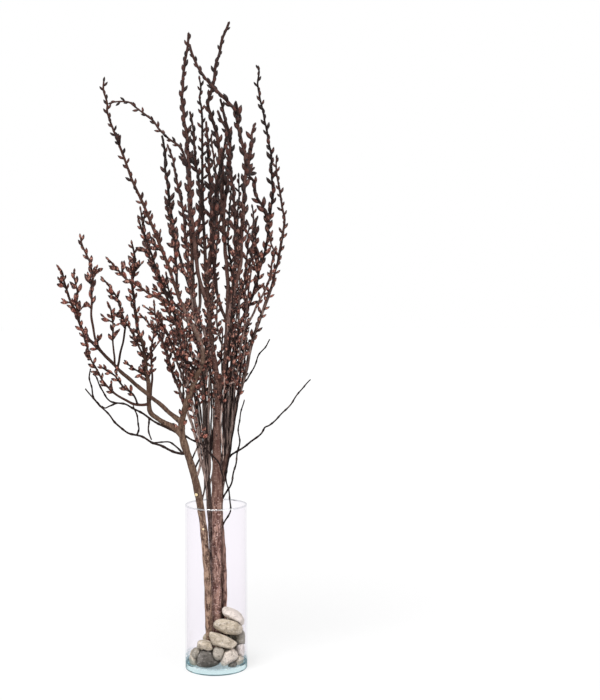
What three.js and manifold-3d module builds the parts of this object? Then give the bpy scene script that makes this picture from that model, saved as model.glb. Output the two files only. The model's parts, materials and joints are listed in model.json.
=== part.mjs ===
// Four cut willow branches with budded twigs, standing among river stones in a clear glass cylinder vase.
// Millimetres, +Z up, the viewer at -Y; the origin is the centre of the vase's underside.
import * as THREE from 'three';
import Module from 'manifold-3d';

const wasm = await Module();
wasm.setup();

// Driving dimensions
const VASE_HEIGHT = 400;
const VASE_RADIUS = 75;
const WALL = 3.8;
const BASE_THICK = 13;
const BASE_BEVEL = 2.5;
const FLOOR_BEVEL = 3;
const RIM_ROUND = 1.2;
const VASE_SIDES = 48;
const GAP = 0.3;
const STRAIGHT_TO = 150;

// Twigs: smooth-curve samples to a span, then a ring kept at each real bend
const SAMPLES = 12;
const RING_TURN = 0.27;
const RING_STEP = 85;
const TRUNK_SIDES = 8;
const TWIG_SIDES = 4;
const STOUT_SIDES = 5;
const STOUT_RADIUS = 4.9;

// Buds, each of true size but further apart than on the real twigs. WIDTH is the belly's radius and BELLY
// its place, both as shares of the length; the SPREAD values are the full range of a random change
const FIRST_BUD = 8;
const BUD_STEP = 46;
const TIP_BUD_STEP = 38;
const STEP_SPREAD = 0.16;
const BUD_TURN = 4.8;
const TURN_SPREAD = 0.5;
const BUD_LENGTH = 20.5;
const TIP_BUD_LENGTH = 13;
const SIZE_SPREAD = 0.2;
const BUD_WIDTH = 0.2;
const BUD_BELLY = 0.42;
const BUD_LEAN = 0.55;
const LEAN_SPREAD = 0.3;
const BUD_SIDES = 3;
const BUD_CLEAR = 0.6;
const BUD_SUNK = 0.6;
const TIP_BUD_PAST = 3;
const NECK_LENGTH = 2;
const CROWD_STEP = 3;
// Balls that stand for a bud: place along it, and thickness as a share of the belly's
const BUD_BALLS = [[0.42, 1], [0.7, 0.83], [1, 0.1]];

// Stones
const STONE_DETAIL = 2;
const HIDDEN_DETAIL = 1;
const STONE_LUMP = 0.05;
const STONE_SQUARE = 2.5;
const STONE_ROOM = 1.3;
const TRUNK_CHECKED = 300;
const STONE_WAVES = [2.6, 4.2, 5.8];
const HIDDEN_FROM = 12;
const FIT_STEPS = 24;

const BASE_TOP = BASE_THICK + GAP;
const BARE = 2;

// Vector helpers on plain [x, y, z] triples
const add = (a, b, k = 1) => [a[0] + b[0] * k, a[1] + b[1] * k, a[2] + b[2] * k];
const sub = (a, b) => add(a, b, -1);
const dot = (a, b) => a[0] * b[0] + a[1] * b[1] + a[2] * b[2];
const cross = (a, b) => [
  a[1] * b[2] - a[2] * b[1],
  a[2] * b[0] - a[0] * b[2],
  a[0] * b[1] - a[1] * b[0],
];
const length = (a) => Math.hypot(a[0], a[1], a[2]);
const unit = (a) => add([0, 0, 0], a, 1 / length(a));
const mix = (a, b, t) => a + (b - a) * t;

// A small repeatable number stream, the same for the same seed
function stream(seed) {
  let state = seed;
  return () => {
    state = (state * 48271) % 2147483647;
    return state / 2147483647;
  };
}

// Straight-line interpolation through [position, value] stops
function profile(stops, at) {
  for (let i = 1; i < stops.length; i += 1) {
    const [x0, v0] = stops[i - 1];
    const [x1, v1] = stops[i];
    if (at <= x1) return mix(v0, v1, (at - x0) / (x1 - x0));
  }
  return stops[stops.length - 1][1];
}

// Twig rows. girth: radius along the length; depth: y along it (a twig's y starts at its parent);
// bare: the share of the length from the root that carries no bud; points: [x, z] as seen from the front
const trunk = (name, girth, depth, bare, points) => ({ name, parent: '', girth, depth, bare, points });
const twig = (name, parent, [r0, r1], tipDepth, bare, points) => ({
  name,
  parent,
  girth: [[0, r0], [1, r1]],
  depth: tipDepth,
  bare,
  points,
});

const TWIGS = [
  trunk('left', [
    [0, 8.6], [0.27, 9], [0.37, 9], [0.4, 7.7], [0.45, 6.9], [0.5, 6.2], [0.54, 5.6], [0.58, 4.8],
    [0.62, 4.1], [0.74, 3.3], [0.88, 2.5], [1, 1.7],
  ], [[0, -14], [0.29, -27], [1, -150]], 0.4, [
    [-17, BASE_TOP], [-19, 144], [-23, 253], [-31, 350], [-44, 435], [-60, 503], [-75, 549],
    [-82, 591], [-75, 634], [-61, 677], [-46, 716], [-34, 747], [-30, 771], [-39, 802], [-53, 833],
    [-70, 867], [-84, 897], [-98, 940], [-112, 982], [-130, 1027], [-149, 1076], [-165, 1116],
    [-183, 1156], [-194, 1181], [-209, 1225], [-227, 1273], [-246, 1327], [-247, 1352], [-255, 1381],
    [-253, 1408],
  ]),
  twig('left_elbow', 'left', [6.9, 1.7], -60, 0.34, [
    [-80, 574], [-101, 593], [-123, 604], [-142, 617], [-156, 631], [-160, 653], [-159, 677],
    [-161, 705], [-167, 744], [-171, 784], [-182, 820], [-189, 863], [-194, 903], [-196, 939],
    [-189, 982], [-194, 1015], [-198, 1037],
  ]),
  twig('left_hook', 'left_elbow', [2.4, 1.5], -95, 0.35, [
    [-168, 753], [-177, 777], [-188, 803], [-193, 819], [-203, 835], [-214, 847], [-232, 840],
  ]),
  twig('left_twin', 'left_elbow', [2.7, 1.7], -30, 0.45, [
    [-160, 650], [-154, 672], [-152, 712], [-153, 747], [-152, 783], [-148, 816], [-150, 847],
  ]),
  twig('left_side', 'left_elbow', [2.2, 1.5], -100, 0.2, [
    [-164, 717], [-177, 725], [-186, 732], [-201, 744], [-215, 752],
  ]),
  twig('left_low', 'left', [5.8, 1.7], -125, 0.55, [
    [-83, 603], [-110, 629], [-135, 653], [-165, 677], [-194, 703], [-219, 726], [-240, 748],
    [-260, 769], [-284, 795], [-308, 825], [-323, 868], [-334, 891], [-342, 915], [-349, 942],
    [-354, 964], [-366, 980],
  ]),
  twig('left_low_a', 'left_low', [2.1, 1.5], -150, 0, [
    [-321, 863], [-322, 888], [-319, 911], [-321, 936], [-324, 956], [-323, 972],
  ]),
  twig('left_low_b', 'left_low', [2.8, 1.7], -75, 0.38, [
    [-268, 775], [-275, 790], [-283, 815], [-289, 844], [-291, 871], [-289, 901], [-289, 928],
    [-288, 955], [-294, 984], [-304, 1011], [-312, 1029], [-317, 1052],
  ]),
  twig('left_low_c', 'left_low', [2.7, 1.7], -60, 0.42, [
    [-229, 738], [-224, 771], [-217, 803], [-213, 835], [-217, 852], [-222, 871], [-227, 891],
    [-238, 914], [-254, 934], [-270, 952],
  ]),
  twig('left_low_d', 'left_low', [2.2, 1.5], -145, 0.4, [
    [-237, 746], [-238, 777], [-240, 805], [-237, 833], [-240, 858], [-242, 880], [-250, 896],
  ]),
  twig('left_bow', 'left_elbow', [3.3, 1.7], -110, 0.55, [
    [-160, 648], [-174, 648], [-194, 651], [-211, 660], [-232, 674], [-250, 691], [-264, 711],
    [-276, 731], [-290, 732],
  ]),
  twig('left_bow_a', 'left_bow', [2.2, 1.5], -140, 0.2, [
    [-184, 650], [-194, 675], [-214, 692], [-228, 712], [-235, 723], [-253, 737], [-268, 751],
  ]),
  twig('left_bow_b', 'left_bow', [2.1, 1.5], -150, 0.15, [
    [-273, 728], [-282, 747], [-291, 768], [-297, 793], [-304, 818], [-310, 837],
  ]),
  twig('left_wisp_a', 'left', [2.6, 1.3], -75, BARE, [
    [-80, 571], [-106, 587], [-135, 601], [-161, 620], [-195, 640], [-216, 651], [-237, 655],
    [-249, 660], [-262, 675], [-280, 713], [-291, 724],
  ]),
  twig('left_wisp_b', 'left_wisp_a', [1.7, 1.3], -85, BARE, [
    [-235, 654], [-250, 648], [-259, 644], [-267, 649],
  ]),
  twig('left_wisp_c', 'left', [2.8, 1.3], -60, BARE, [
    [-68, 530], [-93, 531], [-131, 549], [-153, 557], [-178, 572], [-208, 581], [-233, 601],
    [-261, 633], [-288, 663], [-306, 688],
  ]),
  twig('left_wisp_d', 'left_wisp_c', [1.8, 1.3], -95, BARE, [
    [-188, 574], [-183, 598], [-185, 623], [-192, 651],
  ]),
  twig('left_wisp_e', 'left_wisp_c', [1.8, 1.3], -100, BARE, [
    [-271, 643], [-284, 660], [-290, 675], [-294, 708], [-292, 739],
  ]),
  twig('left_wisp_f', 'left_wisp_c', [1.9, 1.3], -30, BARE, [
    [-79, 530], [-97, 548], [-111, 556], [-133, 556], [-154, 554],
  ]),
  twig('left_wisp_g', 'left_wisp_a', [1.7, 1.3], -78, BARE, [
    [-158, 618], [-159, 595], [-152, 568],
  ]),
  twig('left_bunch', 'left', [3.6, 1.7], -125, 0.22, [
    [-53, 833], [-72, 852], [-91, 870], [-108, 886], [-130, 901], [-153, 912], [-172, 926],
    [-190, 938], [-210, 951], [-226, 969], [-241, 987], [-254, 998],
  ]),
  twig('left_inner', 'left', [3, 1.7], -60, 0.3, [
    [-70, 866], [-93, 885], [-115, 914], [-131, 951], [-148, 996], [-162, 1034], [-174, 1068],
    [-183, 1096],
  ]),
  twig('left_front', 'left', [3, 1.7], -165, 0.35, [
    [-61, 677], [-77, 712], [-91, 752], [-102, 791], [-113, 824], [-129, 853], [-147, 874],
    [-167, 889],
  ]),
  twig('left_in_a', 'left', [2.8, 1.6], -112, 0.16, [
    [-33, 750], [-56, 774], [-77, 805], [-96, 844], [-116, 879], [-129, 910],
  ]),
  twig('left_in_b', 'left', [2.8, 1.6], -140, 0.16, [
    [-39, 730], [-63, 746], [-83, 768], [-102, 798], [-118, 827], [-136, 851],
  ]),
  twig('left_mid', 'left', [3, 1.6], -85, 0.2, [
    [-87, 909], [-92, 961], [-94, 999], [-96, 1029], [-102, 1067], [-111, 1105], [-118, 1140],
  ]),
  twig('left_red', 'left', [3, 1.6], -72, 0.3, [
    [-36, 464], [-37, 503], [-42, 564], [-49, 605], [-57, 646], [-65, 690], [-70, 738], [-72, 778],
  ]),
  twig('left_wisp_x', 'left', [2, 1.3], -30, BARE, [
    [-74, 578], [-61, 564], [-37, 553], [-18, 534], [3, 508], [15, 478], [19, 454],
  ]),
  twig('left_in_c', 'left', [2.4, 1.5], -48, 0.08, [
    [-30, 785], [-49, 806], [-68, 823], [-89, 834], [-111, 848],
  ]),
  twig('left_in_d', 'left', [2.4, 1.5], -140, 0.1, [
    [-44, 735], [-60, 770], [-69, 799], [-76, 833], [-80, 866], [-82, 895],
  ]),
  twig('left_in_e', 'left', [2.8, 1.6], -30, 0.12, [
    [-43, 802], [-46, 840], [-55, 877], [-60, 915], [-66, 958], [-67, 996],
  ]),
  trunk('centre', [
    [0, 11.4], [0.17, 11.6], [0.27, 12.6], [0.32, 12], [0.37, 10.6], [0.42, 9.3], [0.47, 8],
    [0.51, 6.3], [0.54, 5.2], [0.63, 4.4], [0.82, 3], [1, 1.7],
  ], [[0, 2], [0.31, 4], [1, -25]], 0.42, [
    [1, BASE_TOP], [1, 163], [1, 272], [2, 388], [2, 453], [2, 526], [4, 587], [5, 636], [4, 677],
    [1, 720], [-6, 769], [-12, 817], [-18, 890], [-23, 962], [-26, 1034], [-30, 1107], [-31, 1179],
    [-31, 1251], [-31, 1299], [-31, 1327], [-33, 1355], [-37, 1377], [-34, 1400], [-38, 1428],
  ]),
  twig('centre_tall', 'centre', [5.4, 1.7], 20, 0.4, [
    [10, 667], [18, 715], [24, 768], [27, 841], [30, 913], [26, 986], [21, 1059], [16, 1132],
    [13, 1205], [9, 1265], [-2, 1314], [-16, 1358], [-13, 1386], [-4, 1416], [0, 1455], [8, 1478],
    [18, 1523], [25, 1543], [34, 1564],
  ]),
  twig('centre_arch', 'centre_tall', [4.4, 1.7], -20, 0.32, [
    [25, 780], [28, 817], [34, 873], [43, 909], [51, 946], [60, 983], [63, 1039], [66, 1094],
    [69, 1151], [73, 1215], [69, 1254], [56, 1304], [48, 1344], [32, 1368], [0, 1399], [-29, 1431],
    [-51, 1473], [-60, 1504],
  ]),
  twig('centre_arch_a', 'centre_arch', [2.1, 1.5], 0, 0.05, [
    [72, 1188], [79, 1210], [82, 1232], [88, 1269], [87, 1295], [97, 1320],
  ]),
  twig('centre_arch_b', 'centre_arch', [2.1, 1.5], -45, 0, [
    [54, 1319], [52, 1351], [48, 1367],
  ]),
  twig('centre_left', 'centre', [4, 1.7], -60, 0.28, [
    [-17, 878], [-37, 938], [-47, 998], [-54, 1070], [-60, 1142], [-63, 1214], [-68, 1289],
    [-73, 1316], [-75, 1347], [-78, 1374], [-75, 1428], [-71, 1457], [-66, 1482], [-62, 1525],
  ]),
  twig('centre_left_a', 'centre', [3.4, 1.7], 5, 0.35, [
    [-5, 769], [-23, 805], [-40, 853], [-52, 902], [-62, 962], [-71, 1035], [-76, 1095], [-83, 1139],
    [-90, 1168], [-99, 1215], [-103, 1237], [-114, 1268],
  ]),
  twig('centre_mid', 'centre_tall', [3, 1.7], -55, 0.3, [
    [27, 841], [9, 890], [-1, 950], [-6, 1022], [-3, 1094], [1, 1154], [13, 1214], [25, 1273],
    [31, 1292], [28, 1307], [22, 1328], [13, 1371],
  ]),
  twig('centre_right', 'centre_tall', [2.8, 1.7], -60, 0.25, [
    [29, 884], [40, 926], [46, 981], [47, 1034], [46, 1094], [42, 1154], [37, 1201], [33, 1241],
  ]),
  twig('centre_fine', 'centre', [2.8, 1.7], 25, 0.3, [
    [-23, 957], [-13, 1010], [-10, 1071], [-11, 1132], [-13, 1180], [-16, 1229], [-18, 1278],
    [-22, 1325],
  ]),
  twig('centre_spur', 'centre', [2.7, 1.7], -55, 0.25, [
    [10, 631], [23, 668], [33, 703], [37, 742], [42, 779], [49, 818],
  ]),
  twig('centre_spur_a', 'centre', [2.2, 1.5], -55, 0.3, [
    [9, 682], [-6, 707], [-18, 737], [-25, 771], [-26, 806],
  ]),
  twig('centre_spur_b', 'centre_tall', [2.2, 1.5], -70, 0.25, [
    [24, 768], [11, 798], [4, 833], [3, 872], [7, 911],
  ]),
  twig('centre_mid_b', 'centre_tall', [2.8, 1.6], 10, 0.2, [
    [20, 1095], [26, 1156], [32, 1217], [36, 1277], [27, 1304], [16, 1327], [6, 1350],
  ]),
  twig('centre_fan', 'centre', [3.8, 1.7], -46, 0.45, [
    [7, 463], [16, 522], [20, 576], [23, 637], [25, 698], [30, 758], [35, 819], [40, 879], [42, 939],
    [44, 982],
  ]),
  trunk('right', [
    [0, 8.2], [0.2, 8.2], [0.31, 7.5], [0.37, 6.6], [0.43, 5.6], [0.51, 4.8], [0.63, 4.2],
    [0.79, 3.2], [1, 1.7],
  ], [[0, 20], [0.31, 28], [1, 70]], 0.62, [
    [18, BASE_TOP], [18, 157], [18, 223], [15, 291], [10, 349], [10, 400], [17, 463], [24, 500],
    [34, 546], [42, 589], [49, 643], [61, 674], [76, 727], [83, 766], [91, 796], [107, 842],
    [122, 882], [140, 932], [146, 964], [153, 983], [157, 1007], [165, 1052], [170, 1090],
    [165, 1116], [158, 1163], [150, 1210], [151, 1248],
  ]),
  twig('right_inner', 'right', [4.2, 1.7], 40, 0.66, [
    [27, 507], [28, 570], [32, 644], [37, 712], [43, 762], [58, 795], [87, 849], [102, 882],
    [124, 925], [134, 951], [138, 981], [142, 1010], [135, 1035], [138, 1062],
  ]),
  twig('right_tall', 'right', [4.8, 1.7], 95, 0.36, [
    [24, 490], [25, 558], [31, 631], [38, 691], [46, 765], [55, 814], [63, 840], [84, 885],
    [99, 930], [108, 968], [124, 1020], [131, 1077], [135, 1105], [141, 1148], [139, 1205],
    [139, 1243], [132, 1278], [122, 1339], [114, 1375], [105, 1419], [109, 1454], [102, 1470],
  ]),
  twig('right_tall_a', 'right_tall', [2.1, 1.5], 60, 0, [
    [131, 1077], [126, 1097], [116, 1122], [99, 1152], [95, 1180], [80, 1201],
  ]),
  twig('right_tall_b', 'right_tall', [2.1, 1.5], 105, 0, [
    [104, 951], [105, 990], [105, 1013], [100, 1028], [100, 1072], [104, 1099],
  ]),
  twig('right_tall_c', 'right_tall', [2.2, 1.5], 62, 0.05, [
    [75, 867], [72, 917], [78, 936], [76, 954], [78, 1001], [80, 1035], [80, 1055], [82, 1075],
    [76, 1089],
  ]),
  twig('right_wisp', 'right', [2.2, 1.3], 10, BARE, [
    [26, 502], [38, 513], [56, 525], [79, 542], [108, 566], [121, 582], [134, 589], [162, 617],
    [179, 637], [193, 655], [208, 675], [232, 700],
  ]),
  twig('right_wisp_a', 'right', [1.8, 1.3], 80, BARE, [
    [65, 689], [78, 700], [89, 717], [101, 740], [109, 760], [123, 777], [134, 794],
  ]),
  twig('right_wisp_b', 'right', [2, 1.3], -5, BARE, [
    [18, 400], [32, 436], [45, 476], [51, 511], [56, 553], [55, 586], [62, 623], [67, 653],
  ]),
  twig('right_wisp_c', 'right', [1.8, 1.3], -12, BARE, [
    [18, 335], [30, 366], [34, 398], [30, 434], [25, 469], [27, 499],
  ]),
  twig('right_spur', 'right', [2.1, 1.5], 30, 0.1, [
    [82, 765], [71, 785], [65, 805], [75, 825], [87, 837],
  ]),
  twig('right_fill', 'right_inner', [2.8, 1.7], 20, 0.3, [
    [32, 656], [43, 712], [51, 766], [56, 820], [57, 876], [60, 925], [56, 974], [54, 1022],
    [56, 1064],
  ]),
  twig('right_fill_a', 'right_inner', [2.7, 1.7], 80, 0.3, [
    [29, 595], [36, 647], [51, 703], [65, 751], [73, 793], [78, 832],
  ]),
  twig('right_two', 'right', [4.2, 1.6], 62, 0.4, [
    [17, 466], [18, 521], [19, 582], [20, 643], [22, 685], [27, 741], [33, 802], [39, 863],
    [46, 924], [51, 981], [54, 1035], [55, 1096], [58, 1158], [57, 1202],
  ]),
  twig('right_b', 'right', [3.6, 1.7], 8, 0.4, [
    [23, 495], [33, 546], [40, 608], [46, 669], [52, 718], [60, 775], [68, 816], [75, 877],
    [81, 925], [85, 967],
  ]),
  trunk('back', [
    [0, 6.2], [0.17, 6.8], [0.3, 6.6], [0.37, 5.8], [0.44, 5.2], [0.53, 4.6], [0.67, 3.8],
    [0.83, 2.8], [1, 1.7],
  ], [[0, 29], [0.27, 44], [1, 125]], 0.5, [
    [-6, BASE_TOP], [-8, 155], [-10, 264], [-14, 349], [-18, 410], [-22, 480], [-25, 531],
    [-27, 592], [-29, 653], [-32, 714], [-38, 775], [-45, 837], [-53, 899], [-56, 960], [-58, 1010],
    [-62, 1072], [-65, 1135], [-67, 1197], [-75, 1245], [-89, 1272], [-114, 1290], [-139, 1315],
    [-152, 1334], [-167, 1346], [-197, 1369], [-214, 1381], [-244, 1382], [-262, 1377],
  ]),
  twig('back_left', 'back', [3, 1.7], 165, 0.3, [
    [-53, 899], [-73, 948], [-91, 1010], [-104, 1073], [-114, 1136], [-118, 1174], [-123, 1204],
    [-125, 1233], [-125, 1262], [-134, 1302],
  ]),
  twig('back_left_a', 'back', [3.3, 1.7], 75, 0.32, [
    [-39, 714], [-55, 751], [-73, 793], [-93, 842], [-117, 892], [-142, 948], [-162, 998],
    [-172, 1047], [-179, 1089], [-184, 1121],
  ]),
  twig('back_mid', 'back', [3.4, 1.7], 185, 0.35, [
    [-36, 653], [-23, 701], [-16, 762], [-15, 836], [-19, 898], [-15, 960], [-4, 1023], [4, 1086],
    [5, 1149], [1, 1213], [-6, 1265], [-9, 1308],
  ]),
  twig('back_right', 'back', [4.2, 1.7], 160, 0.36, [
    [-23, 482], [-11, 542], [1, 603], [16, 676], [29, 749], [39, 823], [48, 897], [39, 972],
    [32, 1035], [34, 1098], [39, 1149], [44, 1197],
  ]),
  twig('back_right_a', 'back_right', [2.8, 1.7], 200, 0.25, [
    [39, 823], [52, 872], [69, 922], [87, 980], [97, 1035], [98, 1081], [94, 1130],
  ]),
  twig('back_fine', 'back', [2.8, 1.7], 90, 0.3, [
    [-48, 837], [-38, 886], [-41, 948], [-46, 1010], [-41, 1065], [-36, 1122], [-41, 1184],
    [-48, 1234], [-52, 1283], [-55, 1323], [-62, 1355],
  ]),
  twig('back_low', 'back', [4.6, 1.7], 90, 0.4, [
    [-20, 441], [-38, 506], [-53, 567], [-73, 628], [-92, 677], [-112, 733], [-130, 787],
    [-145, 841], [-153, 891],
  ]),
  twig('back_low_a', 'back_low', [2.7, 1.7], 130, 0.2, [
    [-93, 677], [-108, 713], [-118, 756], [-138, 798], [-164, 830], [-190, 857],
  ]),
  twig('back_low_b', 'back_low', [2.2, 1.5], 60, 0.25, [
    [-73, 628], [-80, 670], [-80, 714], [-85, 759], [-100, 801], [-112, 833],
  ]),
  twig('back_two', 'back', [4.6, 1.6], 112, 0.34, [
    [-19, 431], [-18, 489], [-18, 548], [-18, 604], [-17, 660], [-13, 714], [-12, 763], [-13, 824],
    [-9, 886], [-2, 948], [1, 1010], [9, 1072], [18, 1135], [21, 1190], [19, 1240],
  ]),
  twig('back_lean', 'back', [3.8, 1.7], 70, 0.42, [
    [-26, 499], [-33, 528], [-40, 585], [-54, 666], [-70, 732], [-85, 788], [-100, 847], [-112, 906],
    [-122, 961],
  ]),
  twig('back_three', 'back', [4, 1.7], 138, 0.45, [
    [-21, 470], [-21, 523], [-23, 578], [-26, 639], [-26, 700], [-24, 761], [-20, 823], [-19, 885],
    [-20, 947], [-24, 1005],
  ]),
];

// A smooth curve through the points, then only the samples where it has turned or run far enough
function smoothPath(points) {
  const curve = new THREE.CatmullRomCurve3(
    points.map((p) => new THREE.Vector3(...p)),
    false,
    'catmullrom',
    0.5,
  );
  const fine = curve.getPoints((points.length - 1) * SAMPLES).map((p) => [p.x, p.y, p.z]);
  const kept = [fine[0]];
  let heading = unit(sub(fine[1], fine[0]));
  for (let i = 1; i < fine.length - 1; i += 1) {
    const next = unit(sub(fine[i + 1], fine[i]));
    const turned = Math.acos(Math.min(1, dot(heading, next)));
    if (turned > RING_TURN || length(sub(fine[i], kept[kept.length - 1])) > RING_STEP) {
      kept.push(fine[i]);
      heading = next;
    }
  }
  kept.push(fine[fine.length - 1]);
  return kept;
}

function arcLengths(path) {
  const at = [0];
  for (let i = 1; i < path.length; i += 1) at.push(at[i - 1] + length(sub(path[i], path[i - 1])));
  return at;
}

// The point and heading at a given length along a path
function along(path, at, distance) {
  let i = 1;
  while (i < path.length - 1 && at[i] < distance) i += 1;
  const step = sub(path[i], path[i - 1]);
  const t = (distance - at[i - 1]) / (at[i] - at[i - 1]);
  return { point: add(path[i - 1], step, t), heading: unit(step) };
}

function nearestOn(path, x, z) {
  const at = arcLengths(path);
  const total = at[at.length - 1];
  let best = path[0];
  let least = Infinity;
  for (let s = 0; s <= total; s += 2) {
    const { point } = along(path, at, s);
    const gap = Math.hypot(point[0] - x, point[2] - z);
    if (gap < least) {
      least = gap;
      best = point;
    }
  }
  return best;
}

// Gives every row its path in space
function layOut(rows) {
  const laid = new Map();
  for (const row of rows) {
    const flat = row.points.map(([x, z]) => [x, 0, z]);
    const at = arcLengths(flat);
    const total = at[at.length - 1];
    let points;
    if (row.parent) {
      const root = nearestOn(laid.get(row.parent).path, flat[0][0], flat[0][2]);
      points = flat.map(([x, , z], i) => [x, mix(root[1], row.depth, at[i] / total), z]);
      points[0] = root;
    } else {
      points = flat.map(([x, , z], i) => [x, profile(row.depth, at[i] / total), z]);
    }
    laid.set(row.name, { ...row, path: smoothPath(points) });
  }
  return laid;
}

function sideways(heading) {
  const u = unit(cross(heading, [0, 1, 0]));
  return [u, cross(heading, u)];
}

// A closed solid from rings of equal side count, with a point or flat cap at each end
function solid(rings, start, end) {
  const sides = rings[0].length;
  const positions = [start, ...rings.flat(), end];
  const faces = [];
  const last = positions.length - 1;
  for (let k = 0; k < sides; k += 1) {
    const n = (k + 1) % sides;
    faces.push(0, 1 + n, 1 + k);
    for (let i = 0; i < rings.length - 1; i += 1) {
      const low = 1 + i * sides;
      const high = low + sides;
      faces.push(low + k, low + n, high + n, low + k, high + n, high + k);
    }
    const top = last - sides;
    faces.push(last, top + k, top + n);
  }
  const mesh = new wasm.Mesh({
    numProp: 3,
    vertProperties: new Float32Array(positions.flat()),
    triVerts: new Uint32Array(faces),
  });
  return new wasm.Manifold(mesh);
}

function ringAt(centre, heading, radius, sides, turn = 0) {
  const [u, v] = sideways(heading);
  const ring = [];
  for (let k = 0; k < sides; k += 1) {
    const a = turn + (k * 2 * Math.PI) / sides;
    ring.push(add(add(centre, u, radius * Math.cos(a)), v, radius * Math.sin(a)));
  }
  return ring;
}

function sidesOf(row) {
  if (!row.parent) return TRUNK_SIDES;
  return row.girth[0][1] > STOUT_RADIUS ? STOUT_SIDES : TWIG_SIDES;
}

// A twig as one swept tube; a budded one narrows to a neck and ends in its tip bud
function twigSolid(row) {
  const at = arcLengths(row.path);
  const total = at[at.length - 1];
  const sides = sidesOf(row);
  const budded = row.bare < 1;
  const neck = total + TIP_BUD_PAST - TIP_BUD_LENGTH;
  const rings = [];
  row.path.forEach((p, i) => {
    if (budded && at[i] > neck - NECK_LENGTH) return;
    const before = row.path[Math.max(0, i - 1)];
    const after = row.path[Math.min(row.path.length - 1, i + 1)];
    const upright = !row.parent && p[2] < STRAIGHT_TO;
    const heading = upright ? [0, 0, 1] : unit(sub(after, before));
    rings.push(ringAt(p, heading, profile(row.girth, at[i] / total), sides));
  });
  if (!budded) return solid(rings, row.path[0], row.path[row.path.length - 1]);
  const { point, heading } = along(row.path, at, neck);
  const belly = add(point, heading, TIP_BUD_LENGTH * BUD_BELLY);
  rings.push(ringAt(point, heading, profile(row.girth, 1), sides));
  rings.push(ringAt(belly, heading, TIP_BUD_LENGTH * BUD_WIDTH, sides));
  return solid(rings, row.path[0], add(point, heading, TIP_BUD_LENGTH));
}

// Where each bud of a row sits: root point, direction and length
function budPlaces(row, seed) {
  const places = [];
  if (row.bare >= 1) return places;
  const random = stream(seed);
  const at = arcLengths(row.path);
  const total = at[at.length - 1];
  const facet = (2 * Math.PI) / sidesOf(row);
  let turn = random() * 2 * Math.PI;
  let s = Math.max(row.bare * total, FIRST_BUD);
  while (s < total - TIP_BUD_LENGTH) {
    const f = s / total;
    const radius = profile(row.girth, f);
    const { point, heading } = along(row.path, at, s);
    const [u, v] = sideways(heading);
    const side = (Math.round(turn / facet) + 0.5) * facet;
    const out = add(add([0, 0, 0], u, Math.cos(side)), v, Math.sin(side));
    const lean = BUD_LEAN + (random() - 0.5) * LEAN_SPREAD;
    const direction = unit(add(add([0, 0, 0], heading, Math.cos(lean)), out, Math.sin(lean)));
    const size = mix(BUD_LENGTH, TIP_BUD_LENGTH, f * f) * (1 + SIZE_SPREAD * (random() - 0.5));
    const face = radius * Math.cos(facet / 2);
    places.push({ point: add(point, out, face - BUD_SUNK), direction, out, size });
    turn += BUD_TURN + (random() - 0.5) * TURN_SPREAD;
    s += mix(BUD_STEP, TIP_BUD_STEP, f) * (1 + STEP_SPREAD * (random() - 0.5));
  }
  return places;
}

// A three-sided spindle, ridged towards the twig and flat on its outer side
function budSolid({ point, direction, out, size }) {
  const belly = add(point, direction, size * BUD_BELLY);
  const [u, v] = sideways(direction);
  const ridge = Math.atan2(-dot(out, v), -dot(out, u));
  const ring = ringAt(belly, direction, size * BUD_WIDTH, BUD_SIDES, ridge);
  return solid([ring], point, add(point, direction, size));
}

// Everything already standing, as balls [x, y, z, radius] tagged by stem, so that a bud that would
// touch another stem is left off
const crowd = [];

function crowdPath(row, stem) {
  const at = arcLengths(row.path);
  const total = at[at.length - 1];
  for (let s = 0; s < total; s += CROWD_STEP) {
    crowd.push({ stem, centre: along(row.path, at, s).point, radius: profile(row.girth, s / total) });
  }
}

function budBalls({ point, direction, size }) {
  return BUD_BALLS.map(([along, thick]) => ({
    centre: add(point, direction, size * along),
    radius: size * BUD_WIDTH * thick,
  }));
}

const standsClear = (ball, stem) =>
  crowd.every(
    (other) =>
      other.stem === stem ||
      length(sub(ball.centre, other.centre)) > ball.radius + other.radius + BUD_CLEAR,
  );

function paint(colour, roughness, metalness = 0) {
  return new THREE.MeshStandardMaterial({ color: colour, roughness, metalness });
}

function namedMesh(name, manifold, material) {
  const made = manifold.getMesh();
  const positions = new Float32Array(made.numVert * 3);
  for (let i = 0; i < made.numVert; i += 1) {
    for (let k = 0; k < 3; k += 1) positions[i * 3 + k] = made.vertProperties[i * made.numProp + k];
  }
  const geometry = new THREE.BufferGeometry();
  geometry.setAttribute('position', new THREE.BufferAttribute(positions, 3));
  geometry.setIndex(new THREE.BufferAttribute(new Uint32Array(made.triVerts), 1));
  geometry.computeVertexNormals();
  const mesh = new THREE.Mesh(geometry, material);
  mesh.name = name;
  return mesh;
}

const rows = layOut(TWIGS);

// The stem a row belongs to, by walking back to its trunk
function stemOf(row) {
  return row.parent ? stemOf(rows.get(row.parent)) : row.name;
}

for (const row of rows.values()) crowdPath(row, stemOf(row));

function buildStem(stem) {
  const parts = [];
  let seed = 11;
  for (const row of rows.values()) {
    seed += 37;
    if (stemOf(row) !== stem) continue;
    parts.push(twigSolid(row));
    for (const place of budPlaces(row, seed)) {
      const balls = budBalls(place);
      if (!balls.every((ball) => standsClear(ball, stem))) continue;
      parts.push(budSolid(place));
      for (const ball of balls) crowd.push({ stem, ...ball });
    }
  }
  return wasm.Manifold.union(parts);
}

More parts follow.
